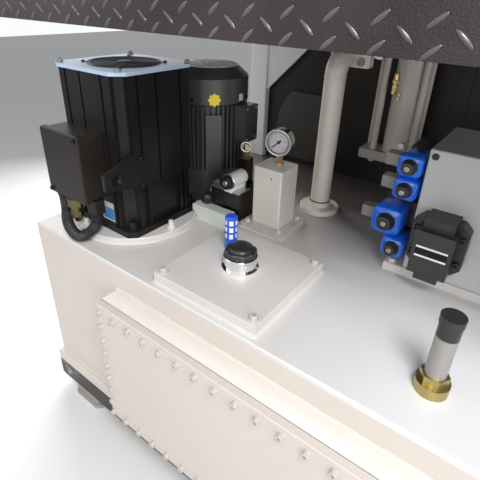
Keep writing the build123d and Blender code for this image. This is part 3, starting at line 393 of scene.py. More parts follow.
# %% Union
sleeve = Finish("union_sleeve", (0.42, 0.35, 0.15), metallic=1.0)
grey_part = sleeve.zone(2, top_z + 36.0, top_z + 36.5)
sleeve.tint(grey_part, (0.30, 0.29, 0.275))
sleeve.tint(sleeve.zone(2, top_z + 111.9, top_z + 112.1), (0.03, 0.03, 0.03))
sleeve.feed("Metallic", 1 - 0.7 * grey_part)
sleeve.feed("Roughness", 0.22 + 0.2 * sleeve.noise(60, 3))
sleeve.relief(sleeve.noise(90, 4, 0.6, stretch=(1, 1, 0.3)), 1.2)
print("union finish made")

# %% [markdown]
# Each solid of the frame takes its finish by name. The solids keep their own meshes, and only
# the material slot is filled.

# %% Finish every solid
node_finish = {
    cream: ("tank_shell", "bottom_plate", "cleanout_cover"),
    lit_frame_cream: ("cleanout_frame",),
    post_cream: ("gauge_post",),
    top_cream: ("tank_top", "mounting_pads", "filler_plate"),
    pipe_cream: ("standpipe",),
    column_grey: ("deck_columns",),
    servo_black: ("servo_body", "servo_cowl", "servo_lifting_lugs"),
    box_black: ("servo_terminal_box",),
    servo_lid_blue: ("servo_lid",),
    motor_grey: ("pump_motor_body", "pump_motor_cowl", "pump_motor_terminal_box"),
    deck_black: ("deck_plate", "deck_skirt"),
    valve_black: ("valve_block", "valve_bodies", "directional_valve"),
    guard_black: ("rear_guard",),
    block_grey: ("steel_block", "manifold_block"),
    coil_blue: ("solenoid_coils",),
    breather_blue: ("air_breather",),
    foot_grey: ("levelling_mounts",),
    rail_black: ("base_rails",),
    brass: ("gauge_stem",),
    relief_bronze: ("relief_valve",),
    old_brass: ("servo_cable_gland",),
    sleeve: ("union_fitting",),
    chrome: ("filler_neck",),
    worn_chrome: ("gauge_case",),
    solenoid_grey: ("valve_solenoid",),
    cylinder_grey: ("hanging_cylinder",),
    fan_black: ("servo_fan",),
    black_plastic: ("servo_fan_grille", "filler_cap", "coil_nuts"),
    black_rubber: ("servo_cable",),
    plug_grey: ("coil_plugs",),
    dial_white: ("gauge_dial",),
}
for finish, names in node_finish.items():
    for name in names:
        nodes[name].data.materials.clear()
        nodes[name].data.materials.append(finish.material)
dressed = sum(len(names) for names in node_finish.values())
print("solids with a finish:", dressed, "of", len(nodes))

# %% [markdown]
# ## Surfaces from formulas
# Every added piece is a grid of points: rows run along the piece and columns run round it, so
# one face list fits them all. A row that shrinks to a point closes an end, and merging equal
# points afterwards turns those ends into clean fans.

# %% Grids and rings
def skin(rings):
    """Quads between neighbouring rings; rings is rows x columns x 3, closed round the columns."""
    rows, columns = rings.shape[:2]
    row, column = np.meshgrid(np.arange(rows - 1), np.arange(columns), indexing="ij")
    after = (column + 1) % columns
    quads = np.stack([row * columns + column, row * columns + after,
                      (row + 1) * columns + after, (row + 1) * columns + column], -1)
    return rings.reshape(-1, 3), quads.reshape(-1, 4)


def capped(rings):
    """A skin whose two ends are closed by rings shrunk to their middle."""
    rings = np.asarray(rings, float)
    first, last = [np.broadcast_to(rings[k].mean(0), rings[k].shape)[None] for k in (0, -1)]
    return skin(np.concatenate([first, rings, last]))


def ring_of(reach, height, centre=(0, 0)):
    """A level ring: reach holds the radius at each of its evenly spaced angles."""
    angle = np.arange(len(reach)) * 2 * np.pi / len(reach)
    return np.stack([centre[0] + reach * np.cos(angle), centre[1] + reach * np.sin(angle),
                     np.full(len(reach), float(height))], -1)


def circle(centre, radius, z, count=56):
    """A level ring whose radius is the same at every angle."""
    return ring_of(np.full(count, float(radius)), z, centre)


def rectangle(low, high, z):
    """The four corners of a level rectangle, in order round it."""
    return [(low[0], low[1], z), (high[0], low[1], z), (high[0], high[1], z), (low[0], high[1], z)]


print("a ring of 4 points and 3 rows has", len(skin(np.zeros((3, 4, 3)))[1]), "faces")

# %% [markdown]
# Three forms cover nearly all of the machine's small parts. A lathe turns a profile, for nuts,
# screws and pins. A slab is a plate with rounded corners and bevelled rims. A tube carries a
# circle along a path, for wires, cables and weld beads.

# %% Lathe, slab and tube
def lathe(profile, sides=24):
    """Turns (radius, height, flats) rows round the upright axis; with flats the ring is a polygon,
    whose radius at an angle is cos(half a flat) over cos(the angle from the flat's middle)."""
    angle = np.arange(sides) * 2 * np.pi / sides
    rings = []
    for radius, height, *flats in profile:
        reach = np.full(sides, float(radius))
        if flats:
            flat = 2 * np.pi / flats[0]
            reach = reach * np.cos(flat / 2) / np.cos(angle % flat - flat / 2)
        rings.append(ring_of(reach, height))
    return skin(np.array(rings))


def waved_lathe(profile, depth, wave):
    """Turns (radius, height, share) rows; each radius gives way by depth x share x the wave,
    which holds one number from 0 to 1 for each angle."""
    return skin(np.array([ring_of(radius - depth * share * wave, height)
                          for radius, height, share in profile]))


def slab(length, width, height, corner, bevel=0.0, steps=4):
    """A plate with rounded corners and bevelled rims, centred over the origin: each ring is the
    outline moved inwards, and the first and last rings close to the centre."""
    turn = np.linspace(0, np.pi / 2, steps + 1)
    angle = np.concatenate([turn + quarter * np.pi / 2 for quarter in range(4)])
    sign_x = np.repeat([1, -1, -1, 1], steps + 1)
    sign_y = np.repeat([1, 1, -1, -1], steps + 1)
    rings = []
    for inset, level in ((bevel, 0), (0, bevel), (0, height - bevel), (bevel, height)):
        round_off = max(corner - inset, 0.01)
        x = sign_x * (length / 2 - inset - round_off) + round_off * np.cos(angle)
        y = sign_y * (width / 2 - inset - round_off) + round_off * np.sin(angle)
        rings.append(np.stack([x, y, 0 * angle + level], -1))
    return capped(rings)


def tube(path, radius, sides=10, upright=(0, 0, 1), closed=False):
    """Carries a circle along a path: at each point the circle lies across the path's direction.
    radius may be one number or one for each point of the path."""
    path = np.asarray(path, float)
    ahead = np.roll(path, -1, 0) - np.roll(path, 1, 0) if closed else np.gradient(path, axis=0)
    ahead /= np.linalg.norm(ahead, axis=1)[:, None]
    side = np.cross(np.asarray(upright, float), ahead)
    side /= np.linalg.norm(side, axis=1)[:, None]
    lift = np.cross(ahead, side)
    angle = np.arange(sides)[:, None] * 2 * np.pi / sides
    reach = np.broadcast_to(np.asarray(radius, float), len(path))[:, None, None]
    rings = path[:, None] + reach * (np.cos(angle) * side[:, None] + np.sin(angle) * lift[:, None])
    return skin(np.concatenate([rings, rings[:1]])) if closed else capped(rings)


print("a plain pin has", len(lathe([(0, 0), (5, 0), (5, 9), (0, 9)])[1]), "faces before its ends merge")

# %% [markdown]
# Small parts come in rows and squares. A shape is made once, lying on the floor, and laid at
# each of its places with whole arrays. The side it faces is three rows that say where its own
# x, y and z go.

# %% Copies and places
UP = np.array([(1, 0, 0), (0, 1, 0), (0, 0, 1)], float)
FRONT = np.array([(1, 0, 0), (0, 0, 1), (0, -1, 0)], float)
BACK = np.array([(-1, 0, 0), (0, 0, 1), (0, 1, 0)], float)
RIGHT = np.array([(0, 1, 0), (0, 0, 1), (1, 0, 0)], float)
LEFT = np.array([(0, -1, 0), (0, 0, 1), (-1, 0, 0)], float)
BOTH = np.array([-1, 1])


def join(*shapes):
    """One shape from several: faces count on from the points before them."""
    points = np.concatenate([shape[0] for shape in shapes])
    starts = np.cumsum([0] + [len(shape[0]) for shape in shapes[:-1]])
    return points, np.concatenate([shape[1] + start for shape, start in zip(shapes, starts)])


def repeat(shape, places, facing=UP):
    """The shape at one place or at each of several, its upright axis turned to its facing."""
    points, faces = shape
    places = np.atleast_2d(np.asarray(places, float))
    spread = (points @ facing)[None] + places[:, None]
    counts = len(points) * np.arange(len(places))[:, None, None]
    return spread.reshape(-1, 3), (faces[None] + counts).reshape(-1, 4)


def turned(shape, angle):
    """The shape turned about its upright axis, in degrees."""
    cosine, sine = np.cos(np.radians(angle)), np.sin(np.radians(angle))
    return shape[0] @ np.array([(cosine, sine, 0), (-sine, cosine, 0), (0, 0, 1)]), shape[1]


def places_at(xs, ys, zs):
    """Every place whose coordinates come from the three lists; a list may be one number."""
    return np.stack(np.meshgrid(xs, ys, zs, indexing="ij"), -1).reshape(-1, 3)


def inside(low, high, axis, margin):
    """The box's two ends on one axis, both moved inwards by the margin."""
    return low[axis] + margin, high[axis] - margin


def corners(low, high, margin, z):
    """The four corners of a box seen from above, moved inwards by the margin, at one level."""
    return places_at(inside(low, high, 0, margin), inside(low, high, 1, margin), z)


def on_circle(centre, reach, degrees, z):
    """Places round a centre at one level: reach x cosine and sine of each angle."""
    turn = np.radians(degrees)
    return np.stack([centre[0] + reach * np.cos(turn), centre[1] + reach * np.sin(turn), 0 * turn + z], -1)


def spaced(start, end, pitch):
    """Places from start to end whose spacing is the nearest to the pitch that fits."""
    return np.linspace(start, end, int(round(abs(end - start) / pitch)) + 1)


print("two numbers on each axis give", len(places_at(BOTH, BOTH, BOTH)), "places")

# %% [markdown]
# A shape becomes a mesh in metres. Equal points are merged, the faces are turned outwards, and
# edges sharper than the given angle stay sharp. Then the piece rides on its body and carries
# its finish's material.

# %% Pieces
made_pieces = []


def hand_in(name, mesh, finish):
    """Puts a finished mesh into the scene, on its body and with its slot."""
    mesh.materials.append(finish.material)
    piece = bpy.data.objects.new(name, mesh)
    bpy.context.scene.collection.objects.link(piece)
    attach(piece, "unit")
    made_pieces.append(piece)
    return piece


def add_piece(name, shape, finish, smooth=35):
    """Turns a shape in millimetres into a piece."""
    points, faces = shape
    mesh = bpy.data.meshes.new(name)
    mesh.vertices.add(len(points))
    mesh.vertices.foreach_set("co", (points * MM).ravel())
    mesh.loops.add(faces.size)
    mesh.loops.foreach_set("vertex_index", faces.ravel().astype(np.int32))
    mesh.polygons.add(len(faces))
    mesh.polygons.foreach_set("loop_start", np.arange(len(faces), dtype=np.int32) * 4)
    mesh.update(calc_edges=True)
    work = bmesh.new()
    work.from_mesh(mesh)
    bmesh.ops.remove_doubles(work, verts=work.verts, dist=2e-6)
    bmesh.ops.recalc_face_normals(work, faces=work.faces)
    work.to_mesh(mesh)
    work.free()
    mesh.shade_smooth()
    mesh.set_sharp_from_angle(angle=np.radians(smooth))
    return hand_in(name, mesh, finish)


print("piece maker ready")

# %% [markdown]
# ## Screws and nuts
# One socket head cap screw serves the whole machine in different sizes: a turned head with a
# small bevel and a hexagon sunk into it. It is a lathe profile whose inner rows are hexagons.
# The cleanout cover is held by a row of them all round its rim, painted over with the tank.
# Their count follows from the pitch that the photograph shows.

# %% Screws, nuts and the cleanout cover
def socket_screw(head, height, key=0.5):
    """A turned head; its inner rows are a hexagon of key x head, sunk 0.6 of the height."""
    bevel = 0.12 * head
    sink = 0.6 * height
    return lathe([(0, 0), (head, 0), (head, height - bevel), (head - bevel, height),
                  (key * head, height, 6), (key * head, height - sink, 6), (0, height - sink)])


def stud_nut(across, height, stud, rise):
    """A hexagon nut on a washer with the stud's rounded end standing out of it."""
    return lathe([(0, 0), (1.25 * across, 0), (1.25 * across, 0.15 * height), (across, 0.15 * height, 6),
                  (across, 0.9 * height, 6), (0.88 * across, height), (stud, height),
                  (stud, rise - 0.3 * stud), (0.7 * stud, rise), (0, rise)])


def add_screws(name, places, facing, size, finish):
    """Cap screws at the places; size is the head's radius, its height and the key's share."""
    return add_piece(name, repeat(socket_screw(*size), places, facing), finish)


cover_low, cover_high = box_mm("cleanout_cover")
row_pitch, column_pitch = 48, 42
row_x = spaced(*inside(cover_low, cover_high, 0, 14), row_pitch)
column_z = spaced(*inside(cover_low, cover_high, 2, 20), column_pitch)
cover_places = np.concatenate([places_at(row_x, cover_low[1], column_z[[0, -1]]),
                               places_at(row_x[[0, -1]], cover_low[1], column_z[1:-1])])
add_screws("cleanout_screws", cover_places, FRONT, (7, 10), shaded_screw_cream)
print("cover screws:", len(cover_places))

# %% [markdown]
# ## Weld beads
# The frame, pads and posts are welded down, and a welder's bead is a row of overlapping scales.
# It is a tube laid in the corner, whose radius ripples along its length.

# %% Weld beads
def bead(corner_points, radius, step=2.0):
    """A closed weld bead through the corner points: radius x (1 + ripple + slow wander)."""
    ripple = 4.0
    ends = np.asarray(corner_points, float)
    sides = np.roll(ends, -1, 0) - ends
    lengths = np.linalg.norm(sides, axis=1)
    runs = [end + np.linspace(0, 1, max(int(length / step), 2), endpoint=False)[:, None] * side
            for end, side, length in zip(ends, sides, lengths)]
    path = np.concatenate(runs)
    along = np.arange(len(path)) * step
    wander = 0.12 * np.sin(along / 37.0) * np.sin(along / 23.0 + 1)
    swell = 1 + 0.10 * np.sin(2 * np.pi * along / ripple) + wander
    return tube(path, radius * swell, 8, upright=np.cross(sides[0], sides[1]), closed=True)


top_low, top_high = box_mm("tank_top")
shell_low, shell_high = box_mm("tank_shell")
plate_low, plate_high = box_mm("filler_plate")
lid_low, lid_high = box_mm("servo_lid")
servo_x, servo_y = servo = ((lid_low + lid_high) / 2)[:2]
ring_radius = 164
frame_corners = [(frame_low[0], shell_low[1], frame_low[2]), (frame_high[0], shell_low[1], frame_low[2]),
                 (frame_high[0], shell_low[1], frame_high[2]), (frame_low[0], shell_low[1], frame_high[2])]
add_piece("top_weld_beads", join(
    bead(rectangle(plate_low, plate_high, top_high[2]), 4.5),
    bead(circle(servo, ring_radius, top_high[2], 64), 4.0),
    bead(rectangle(post_low, post_high, top_high[2]), 3.0)), top_cream)
add_piece("front_weld_beads", join(
    bead(frame_corners, 7.0),
    bead(rectangle(shell_low, shell_high, box_mm("bottom_plate")[1][2]), 4.0)), cream)
print("weld beads: 5")

# %% [markdown]
# ## Tread plate
# The deck is made of tread plate: low lens-shaped bars, each turned across its neighbours. One
# lens is enough, because a copy of it is only a turn and a shift. Its half width and height
# follow sqrt(1 - t^2) from end to end, which gives the pointed, rounded look of a rolled bar.
# A wall shows three rows of bars, and the rows of neighbouring walls slope the other way.

# %% Tread plate
def tread_lens():
    """One bar: at t from -1 to 1 along it, half width and height are scaled by sqrt(1 - t^2)."""
    length, width, height, rows = 25, 6.4, 2.0, 7
    t = np.sin(np.linspace(-np.pi / 2, np.pi / 2, rows))
    swell = np.sqrt(np.clip(1 - t ** 2, 0, 1))[:, None]
    across = np.array([1, 0.75, 0, -0.75, -1, 0]) * width / 2
    raised = np.array([-0.3, 0.66 * height, height, 0.66 * height, -0.3, -0.3])
    along = np.broadcast_to((t * length / 2)[:, None], (rows, 6))
    return skin(np.stack([along, swell * across, swell * raised - 0.05], -1))


deck_low, deck_high = box_mm("deck_plate")
tread_pitch, lens_slope, lens_half = 56.5, 41, 12
half_pitch = tread_pitch / 2
row_z = box_mm("deck_skirt")[0][2] + np.array([8.5, 23, 37.5])
rising, falling = turned(tread_lens(), lens_slope), turned(tread_lens(), -lens_slope)
front_x = np.arange(deck_low[0] + tread_pitch, deck_high[0] - lens_half, tread_pitch)
side_y = np.arange(deck_low[1] + lens_half, deck_high[1] - lens_half, tread_pitch)


def wall_rows(xs, ys, half_step, facing, outer, middle):
    """Three rows of bars on one wall; the middle row is moved by half a pitch along it."""
    low, shifted, high = [places_at(xs, ys, z) for z in row_z]
    return join(repeat(outer, low, facing), repeat(middle, shifted[:-1] + half_step, facing),
                repeat(outer, high, facing))


half_x, half_y = (half_pitch, 0, 0), (0, half_pitch, 0)
flat_places = places_at(front_x + half_pitch / 2, side_y, deck_high[2])[:-1]
tread = join(wall_rows(front_x, deck_low[1], half_x, FRONT, rising, falling),
             wall_rows(front_x, deck_high[1], half_x, BACK, falling, rising),
             wall_rows(deck_low[0], side_y, half_y, LEFT, falling, rising),
             wall_rows(deck_high[0], side_y, half_y, RIGHT, rising, falling),
             repeat(rising, flat_places), repeat(falling, flat_places + half_y))
add_piece("deck_tread_bars", tread, tread_worn, smooth=50)
print("tread bars:", len(tread[0]) // len(rising[0]))

# %% [markdown]
# ## Servo motor
# A wire guard closes the opening over the fan: round wires in rings, four spokes under them and
# a hub. A see-through picture of wires would look flat from the side, so the wires are real:
# each ring is a tube on a circle.

# %% Wire guard
grille_low, grille_high = box_mm("servo_fan_grille")
guard_z = (grille_low[2] + grille_high[2]) / 2
guard_reach = (grille_high[0] - grille_low[0]) / 2
wire, ring_count, hub_radius, ear_reach = 1.1, 11, 18, guard_reach + 9
guard_rings = [tube(circle(servo, radius, guard_z), wire, 6, closed=True)
               for radius in np.linspace(hub_radius, guard_reach - wire, ring_count)]
spoke_reach = np.linspace(hub_radius - 1, ear_reach, 6)[:, None]
spoke_start = (servo_x, servo_y, guard_z - wire)
guard_spokes = [tube(spoke_start + spoke_reach * (np.cos(turn), np.sin(turn), 0), wire, 6)
                for turn in np.radians((45, 135, 225, 315))]
guard_hub = repeat(lathe([(0, -1), (18, -1), (18, 1), (15, 2), (0, 2)], 32), (servo_x, servo_y, guard_z))
fan_guard = add_piece("servo_wire_guard", join(*guard_rings, *guard_spokes, guard_hub),
                      wire_black)
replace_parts(fan_guard, "servo_fan_grille")
print("guard rings:", len(guard_rings))

# %% [markdown]
# The motor's fasteners: screws on the guard's ears, acorn nuts at the lid's corners, big cap
# screws on the housing's foot and four studs with nuts on its mounting ring. Three of the four
# sets stand in a square, so one helper places them and only the reach changes.

# %% Servo motor fasteners
def around_servo(reach, z):
    """Four places in a square round the motor's axis, reach to each side of it."""
    return places_at(servo_x + BOTH * reach, servo_y + BOTH * reach, z)


ear_place = ear_reach * np.cos(np.pi / 4)
add_screws("servo_guard_screws", around_servo(ear_place, lid_high[2]), UP, (4, 4),
           black_steel)
nut_reach = (lid_high[0] - lid_low[0]) / 2 - 17
add_piece("servo_lid_nuts", repeat(stud_nut(6.5, 6, 3.5, 9), around_servo(nut_reach, lid_high[2])),
          nut_steel)
flange_reach, flange_z = 99.5, top_z + 31
add_screws("servo_flange_screws", around_servo(flange_reach, flange_z), UP, (10, 19, 0.55),
           servo_black)

stud_circle, ring_top_z = 152, top_z + 15
stud_places = on_circle(servo, stud_circle, (-97.5, -7.5, 82.5, 172.5), ring_top_z)
add_piece("servo_ring_studs", repeat(stud_nut(10.5, 12, 6.5, 25), stud_places), top_cream)
print("lid nuts, foot screws and ring studs: 4 of each")

# %% [markdown]
# Each lifting lug is held by two screws, one above the other, and the lug on the far corner is
# the same turned half round. The terminal box shows a screw at two of its corners. All are the
# same cap screw, and only the side that it faces changes.

# %% Lug and box screws
lug_low, lug_high = box_mm("servo_lifting_lugs")
lug_side, lug_screw_z = 81, top_z + np.array([216, 150])
lug_screw = socket_screw(6, 5)
lug_screws = join(repeat(lug_screw, places_at(lug_high[0], servo_y - lug_side, lug_screw_z), RIGHT),
                  repeat(lug_screw, places_at(lug_low[0], servo_y + lug_side, lug_screw_z), LEFT))
add_piece("servo_lug_screws", lug_screws, servo_black)

tbox_low, tbox_high = box_mm("servo_terminal_box")
box_foot_z, box_margin = top_z + 104, 12
box_places = [(tbox_high[0] - box_margin, tbox_low[1], tbox_high[2] - box_margin),
              (tbox_low[0] + box_margin, tbox_low[1], box_foot_z + box_margin)]
add_screws("servo_box_screws", box_places, FRONT, (5.5, 3.5), black_steel)
print("lug screws: 4, box screws:", len(box_places))

# %% [markdown]
# The data plate on the lower housing is a sheet with a white head over a blue field. A picture
# could print it, but it stays blank, so two thin plates, one on the other, are enough.

# %% Data plate
housing_front = servo_y - 108
label_x, label_z = -511.5, top_z + 57
label_place = np.array([label_x, housing_front, label_z])
add_piece("servo_label", repeat(slab(49, 52, 0.6, 2), label_place, FRONT), label_pale)
add_piece("servo_label_field", repeat(slab(43, 32, 0.5, 1), label_place - (0, 0.5, 5), FRONT),
          label_blue)
print("data plate laid on")

# %% [markdown]
# The motor cable runs in a ribbed conduit that leaves the box, swings round over the tank top
# and goes back up into the brass gland. Its line is a smooth curve that eight route points
# steer, walked in even steps. Its radius follows a wave along that line, one swell for each rib.

# %% Cable
cable_radius, rib_pitch, rib_depth = 14, 4.6, 0.9
route = [(-606, 12, 698.7), (-606, 12, 662), (-582, -7, 632), (-548, -15, 616), (-513, -14, 616),
         (-501, 13, 632), (-507, 32, 646), (-507, 32, 668.7)]


def smooth_line(route_points):
    """Points of the smooth curve that the route's points steer, read from a NURBS spline."""
    data = bpy.data.curves.new("route", "CURVE")
    data.dimensions = "3D"
    data.resolution_u = 24
    spline = data.splines.new("NURBS")
    spline.points.add(len(route_points) - 1)
    for point, place in zip(spline.points, route_points):
        point.co = (*place, 1)
    spline.order_u = 3
    spline.use_endpoint_u = True
    guide = bpy.data.objects.new("route", data)
    drawn = bpy.data.meshes.new_from_object(guide)
    line = np.zeros(3 * len(drawn.vertices))
    drawn.vertices.foreach_get("co", line)
    bpy.data.objects.remove(guide)
    bpy.data.curves.remove(data)
    bpy.data.meshes.remove(drawn)
    return line.reshape(-1, 3)


def evenly(line, spacing):
    """The same line with points at even steps, so that the ribs keep their pitch."""
    walked = np.concatenate([[0], np.cumsum(np.linalg.norm(np.diff(line, axis=0), axis=1))])
    steps = np.linspace(0, walked[-1], int(walked[-1] / spacing) + 1)
    return np.stack([np.interp(steps, walked, line[:, k]) for k in range(3)], -1), steps


cable_line, walked = evenly(smooth_line(route), 0.9)
ribbed = cable_radius - rib_depth + rib_depth * np.sin(2 * np.pi * walked / rib_pitch)
cable = add_piece("servo_cable_conduit", tube(cable_line, ribbed, 28, upright=(0, 1, 0)),
                  black_rubber)
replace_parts(cable, "servo_cable")
print("conduit length, mm:", round(walked[-1]))

# %% [markdown]
# ## Pump motor
# Its fan cowl is closed by woven wire, with one set of wires over the other. Straight crossed
# wires would cut through each other. So each sways up and down with a cosine of the pitch, and
# the crossing set sways the other way.

# %% Wire mesh
cowl_low, cowl_high = box_mm("pump_motor_cowl")
motor_x, motor_y = ((cowl_low + cowl_high) / 2)[:2]
cowl_radius = (cowl_high[0] - cowl_low[0]) / 2
mesh_radius, mesh_pitch, mesh_wire, mesh_sway = 76, 7.0, 2.3, 1.1
mesh_z = cowl_high[2] + 0.5
wires = []
for offset in np.arange(-mesh_radius + mesh_pitch / 2, mesh_radius, mesh_pitch):
    half = np.sqrt(mesh_radius ** 2 - offset ** 2)
    reach = np.linspace(-half, half, max(int(half / mesh_pitch * 4), 4))
    sway = mesh_sway * np.cos(np.pi * reach / mesh_pitch)
    fixed = offset + 0 * reach
    for line in ([motor_x + reach, motor_y + fixed, mesh_z + sway],
                 [motor_x + fixed, motor_y + reach, mesh_z - sway]):
        wires.append(tube(np.stack(line, -1), mesh_wire, 5))
add_piece("motor_wire_mesh", join(*wires), mesh_steel, smooth=60)
print("mesh wires:", len(wires))

# %% [markdown]
# The cowl carries a yellow sticker with a wavy rim and a small blank plate, both bent round it:
# a flat outline wraps round when the way along it is read as an angle. Four screws hold the
# cowl, and four more the lid of the terminal box.

# %% Cowl sticker, plate and screws
around = np.arange(72) * 2 * np.pi / 72
patch_lift = 0.4


def wrapped(outline, middle_angle, middle_z):
    """A thin patch on the cowl whose rings shrink to its middle: a point at reach r and direction
    a lies r cos(a) round the cowl and r sin(a) up it."""
    rings = []
    for share, out in ((1, 0), (1, patch_lift), (0.9, patch_lift), (0.45, patch_lift), (0, patch_lift)):
        angle = np.radians(middle_angle) + share * outline * np.cos(around) / cowl_radius
        reach = cowl_radius + out
        rings.append(np.stack([motor_x + reach * np.cos(angle), motor_y + reach * np.sin(angle),
                               middle_z + share * outline * np.sin(around)], -1))
    return skin(np.array(rings))


sticker_angle, sticker_z = -43, top_z + 303
wavy = 16 + 1.7 * np.cos(8 * around)
square = 9 / np.maximum(np.abs(np.cos(around)), np.abs(np.sin(around)))
add_piece("motor_sticker", wrapped(wavy, sticker_angle, sticker_z), sticker_yellow)
add_piece("motor_plate", wrapped(square, 2, sticker_z + 1), label_pale)

side_screw = repeat(socket_screw(5, 3), (cowl_radius - 0.2, 0, 0), RIGHT)
cowl_screws = [repeat(turned(side_screw, angle), (motor_x, motor_y, cowl_low[2] + 12))
               for angle in (-75, 15, 105, 195)]
add_piece("motor_cowl_screws", join(*cowl_screws), black_steel)
mbox = box_mm("pump_motor_terminal_box")
mbox_places = places_at(mbox[1][0], inside(*mbox, 1, 9), inside(*mbox, 2, 9))
add_screws("motor_box_screws", mbox_places, RIGHT, (4, 3), bright_steel)
print("cowl screws:", len(cowl_screws), "box screws:", len(mbox_places))

# %% [markdown]
# ## Filler
# The screw cap is moulded: a skirt with eight finger waves, a stepped rim and a domed crown. All
# of that is one lathe whose radius also waves with the angle, less and less towards the crown.

# %% Filler cap
neck_low, neck_high = box_mm("filler_neck")
cap_x, cap_y = ((neck_low + neck_high) / 2)[:2]
cap_z = neck_high[2]
cap_waves = 0.5 - 0.5 * np.cos(8 * np.arange(96) * 2 * np.pi / 96)
cap_rows = [(0, 0, 0), (33, 0, 0), (35, 1.0, 0.4), (36, 3, 1), (36, 10, 1), (34.5, 13, 1), (31, 14.5, 0.8),
            (28, 14.5, 0.3), (27.5, 17, 0.1), (25, 20, 0), (19, 22.2, 0), (11, 23, 0), (0, 23, 0)]
cap_shape = repeat(waved_lathe(cap_rows, 3.2, cap_waves), (cap_x, cap_y, cap_z))
screw_cap = add_piece("filler_screw_cap", cap_shape, black_plastic, smooth=40)
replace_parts(screw_cap, "filler_cap")
print("cap height:", cap_rows[-1][1])

# %% [markdown]
# The chrome neck has a rolled rim and a small wire eye for a seal. Six little screws hold its
# flange, and four cap screws on washers hold the plate. Rim, washer and screws are turned on
# the real thing too, so each is one lathe profile.

# %% Filler neck and plate
rim_rows = [(0, -3.2), (36.8, -3.2), (37.6, -2.2), (37.6, -0.8), (36.8, 0.0), (0, 0.0)]
add_piece("filler_neck_rim", repeat(lathe(rim_rows, 64), (cap_x, cap_y, cap_z)), chrome)
eye_way = np.radians(-38)
eye_arc = np.radians(np.linspace(0, 200, 16))
eye_reach = 38 + 6 * np.sin(eye_arc)
eye_line = np.stack([cap_x + eye_reach * np.cos(eye_way), cap_y + eye_reach * np.sin(eye_way),
                     cap_z - 12 + 9 * np.cos(eye_arc)], -1)
eye_across = (np.sin(eye_way), -np.cos(eye_way), 0.01)
add_piece("filler_seal_eye", tube(eye_line, 1.4, 8, upright=eye_across), chrome)

plate_z, plate_margin = plate_high[2], 15
plate_corners = corners(plate_low, plate_high, plate_margin, plate_z)
washer = lathe([(0, 0), (11, 0), (11, 1.4), (10.2, 2), (0, 2)], 32)
plate_screws = join(repeat(washer, plate_corners),
                    repeat(socket_screw(8, 9, 0.6), plate_corners + (0, 0, 2)))
add_piece("filler_plate_screws", plate_screws, shaded_screw_cream)
flange_places = on_circle((cap_x, cap_y), 38.6, np.arange(6) * 60 + 20, plate_z + 4)
small_head = lathe([(0, 0), (2.2, 0), (2.2, 0.8), (1.4, 1.5), (0, 1.6)], 16)
add_piece("filler_flange_screws", repeat(small_head, flange_places), bright_steel)
print("plate screws:", len(plate_corners), "flange screws:", len(flange_places))

# %% [markdown]
# The air breather beside the cap is a blue cage round a white filter. The filter shows in three
# rows of panes, six to a row, and each pane is a slab stood on its edge and turned round.

# %% Breather panes
breather_low, breather_high = box_mm("air_breather")
breather_x, breather_y = ((breather_low + breather_high) / 2)[:2]
pane_points, pane_faces = repeat(slab(12.6, 9.1, 0.4, 0.8), (0, 0, 12.5))
upright_pane = (pane_points @ np.array([(0, 0, 1), (0, 1, 0), (-1, 0, 0)], float), pane_faces)
panes = [repeat(turned(upright_pane, -52 + 60 * k), (breather_x, breather_y, top_z + height))
         for height in (64, 81, 98) for k in range(6)]
add_piece("breather_filter_panes", join(*panes), filter_white)
print("panes:", len(panes))

# %% [markdown]
# ## Pressure gauge
# The dial is drawn as real geometry: thin black strokes for the scale and a pointer. Working on
# a flat plane first and turning everything together to the gauge's facing keeps the scale true.

# %% Dial
gauge_turn = np.radians(12)
gauge_normal = np.array([np.sin(gauge_turn), -np.cos(gauge_turn), 0])
gauge_across = np.array([np.cos(gauge_turn), np.sin(gauge_turn), 0])
post_x, post_y = ((post_low + post_high) / 2)[:2]
gauge_axis = np.array([post_x, post_y + 12, top_z + 233])
GAUGE = np.array([gauge_across, (0, 0, 1), gauge_normal])
dial_forward, bezel_forward, glass_forward = 13.1, 10.5, 17.5
scale_start, scale_sweep, pointer_angle = 225, 270, 222


def on_gauge(shape, forward):
    """The shape on the gauge's axis, so far in front of its middle."""
    return repeat(shape, gauge_axis + forward * gauge_normal, GAUGE)


def stroke(angle, inner, outer, width, height=0.25):
    """A thin bar on the dial from one radius to another, along the given angle in degrees."""
    points, faces = slab(outer - inner, width, height, 0.05, 0)
    return turned((points + ((inner + outer) / 2, 0, 0), faces), angle)


stroke_kinds = ((51, 22.5, 24.5, 0.3), (11, 20.5, 24.5, 0.6), (220, 24.5, 25.0, 1.2))
strokes = [stroke(angle, inner, outer, width) for count, inner, outer, width in stroke_kinds
           for angle in scale_start - np.linspace(0, scale_sweep, count)]
add_piece("gauge_scale", on_gauge(join(*strokes), dial_forward), ink_black)
pointer_boss = lathe([(0, 0), (4.0, 0), (4.0, 1.6), (3.0, 2.2), (0, 2.2)], 24)
pointer = join(stroke(pointer_angle, -8, 0, 4.0, 0.6), stroke(pointer_angle, 0, 22, 3.0, 0.6),
               pointer_boss)
add_piece("gauge_pointer", on_gauge(pointer, dial_forward + 1.0), ink_black)
print("strokes on the dial:", len(strokes))

# %% [markdown]
# The figures are text made into a flat mesh and laid on the dial by their angle, from 0 to 25.

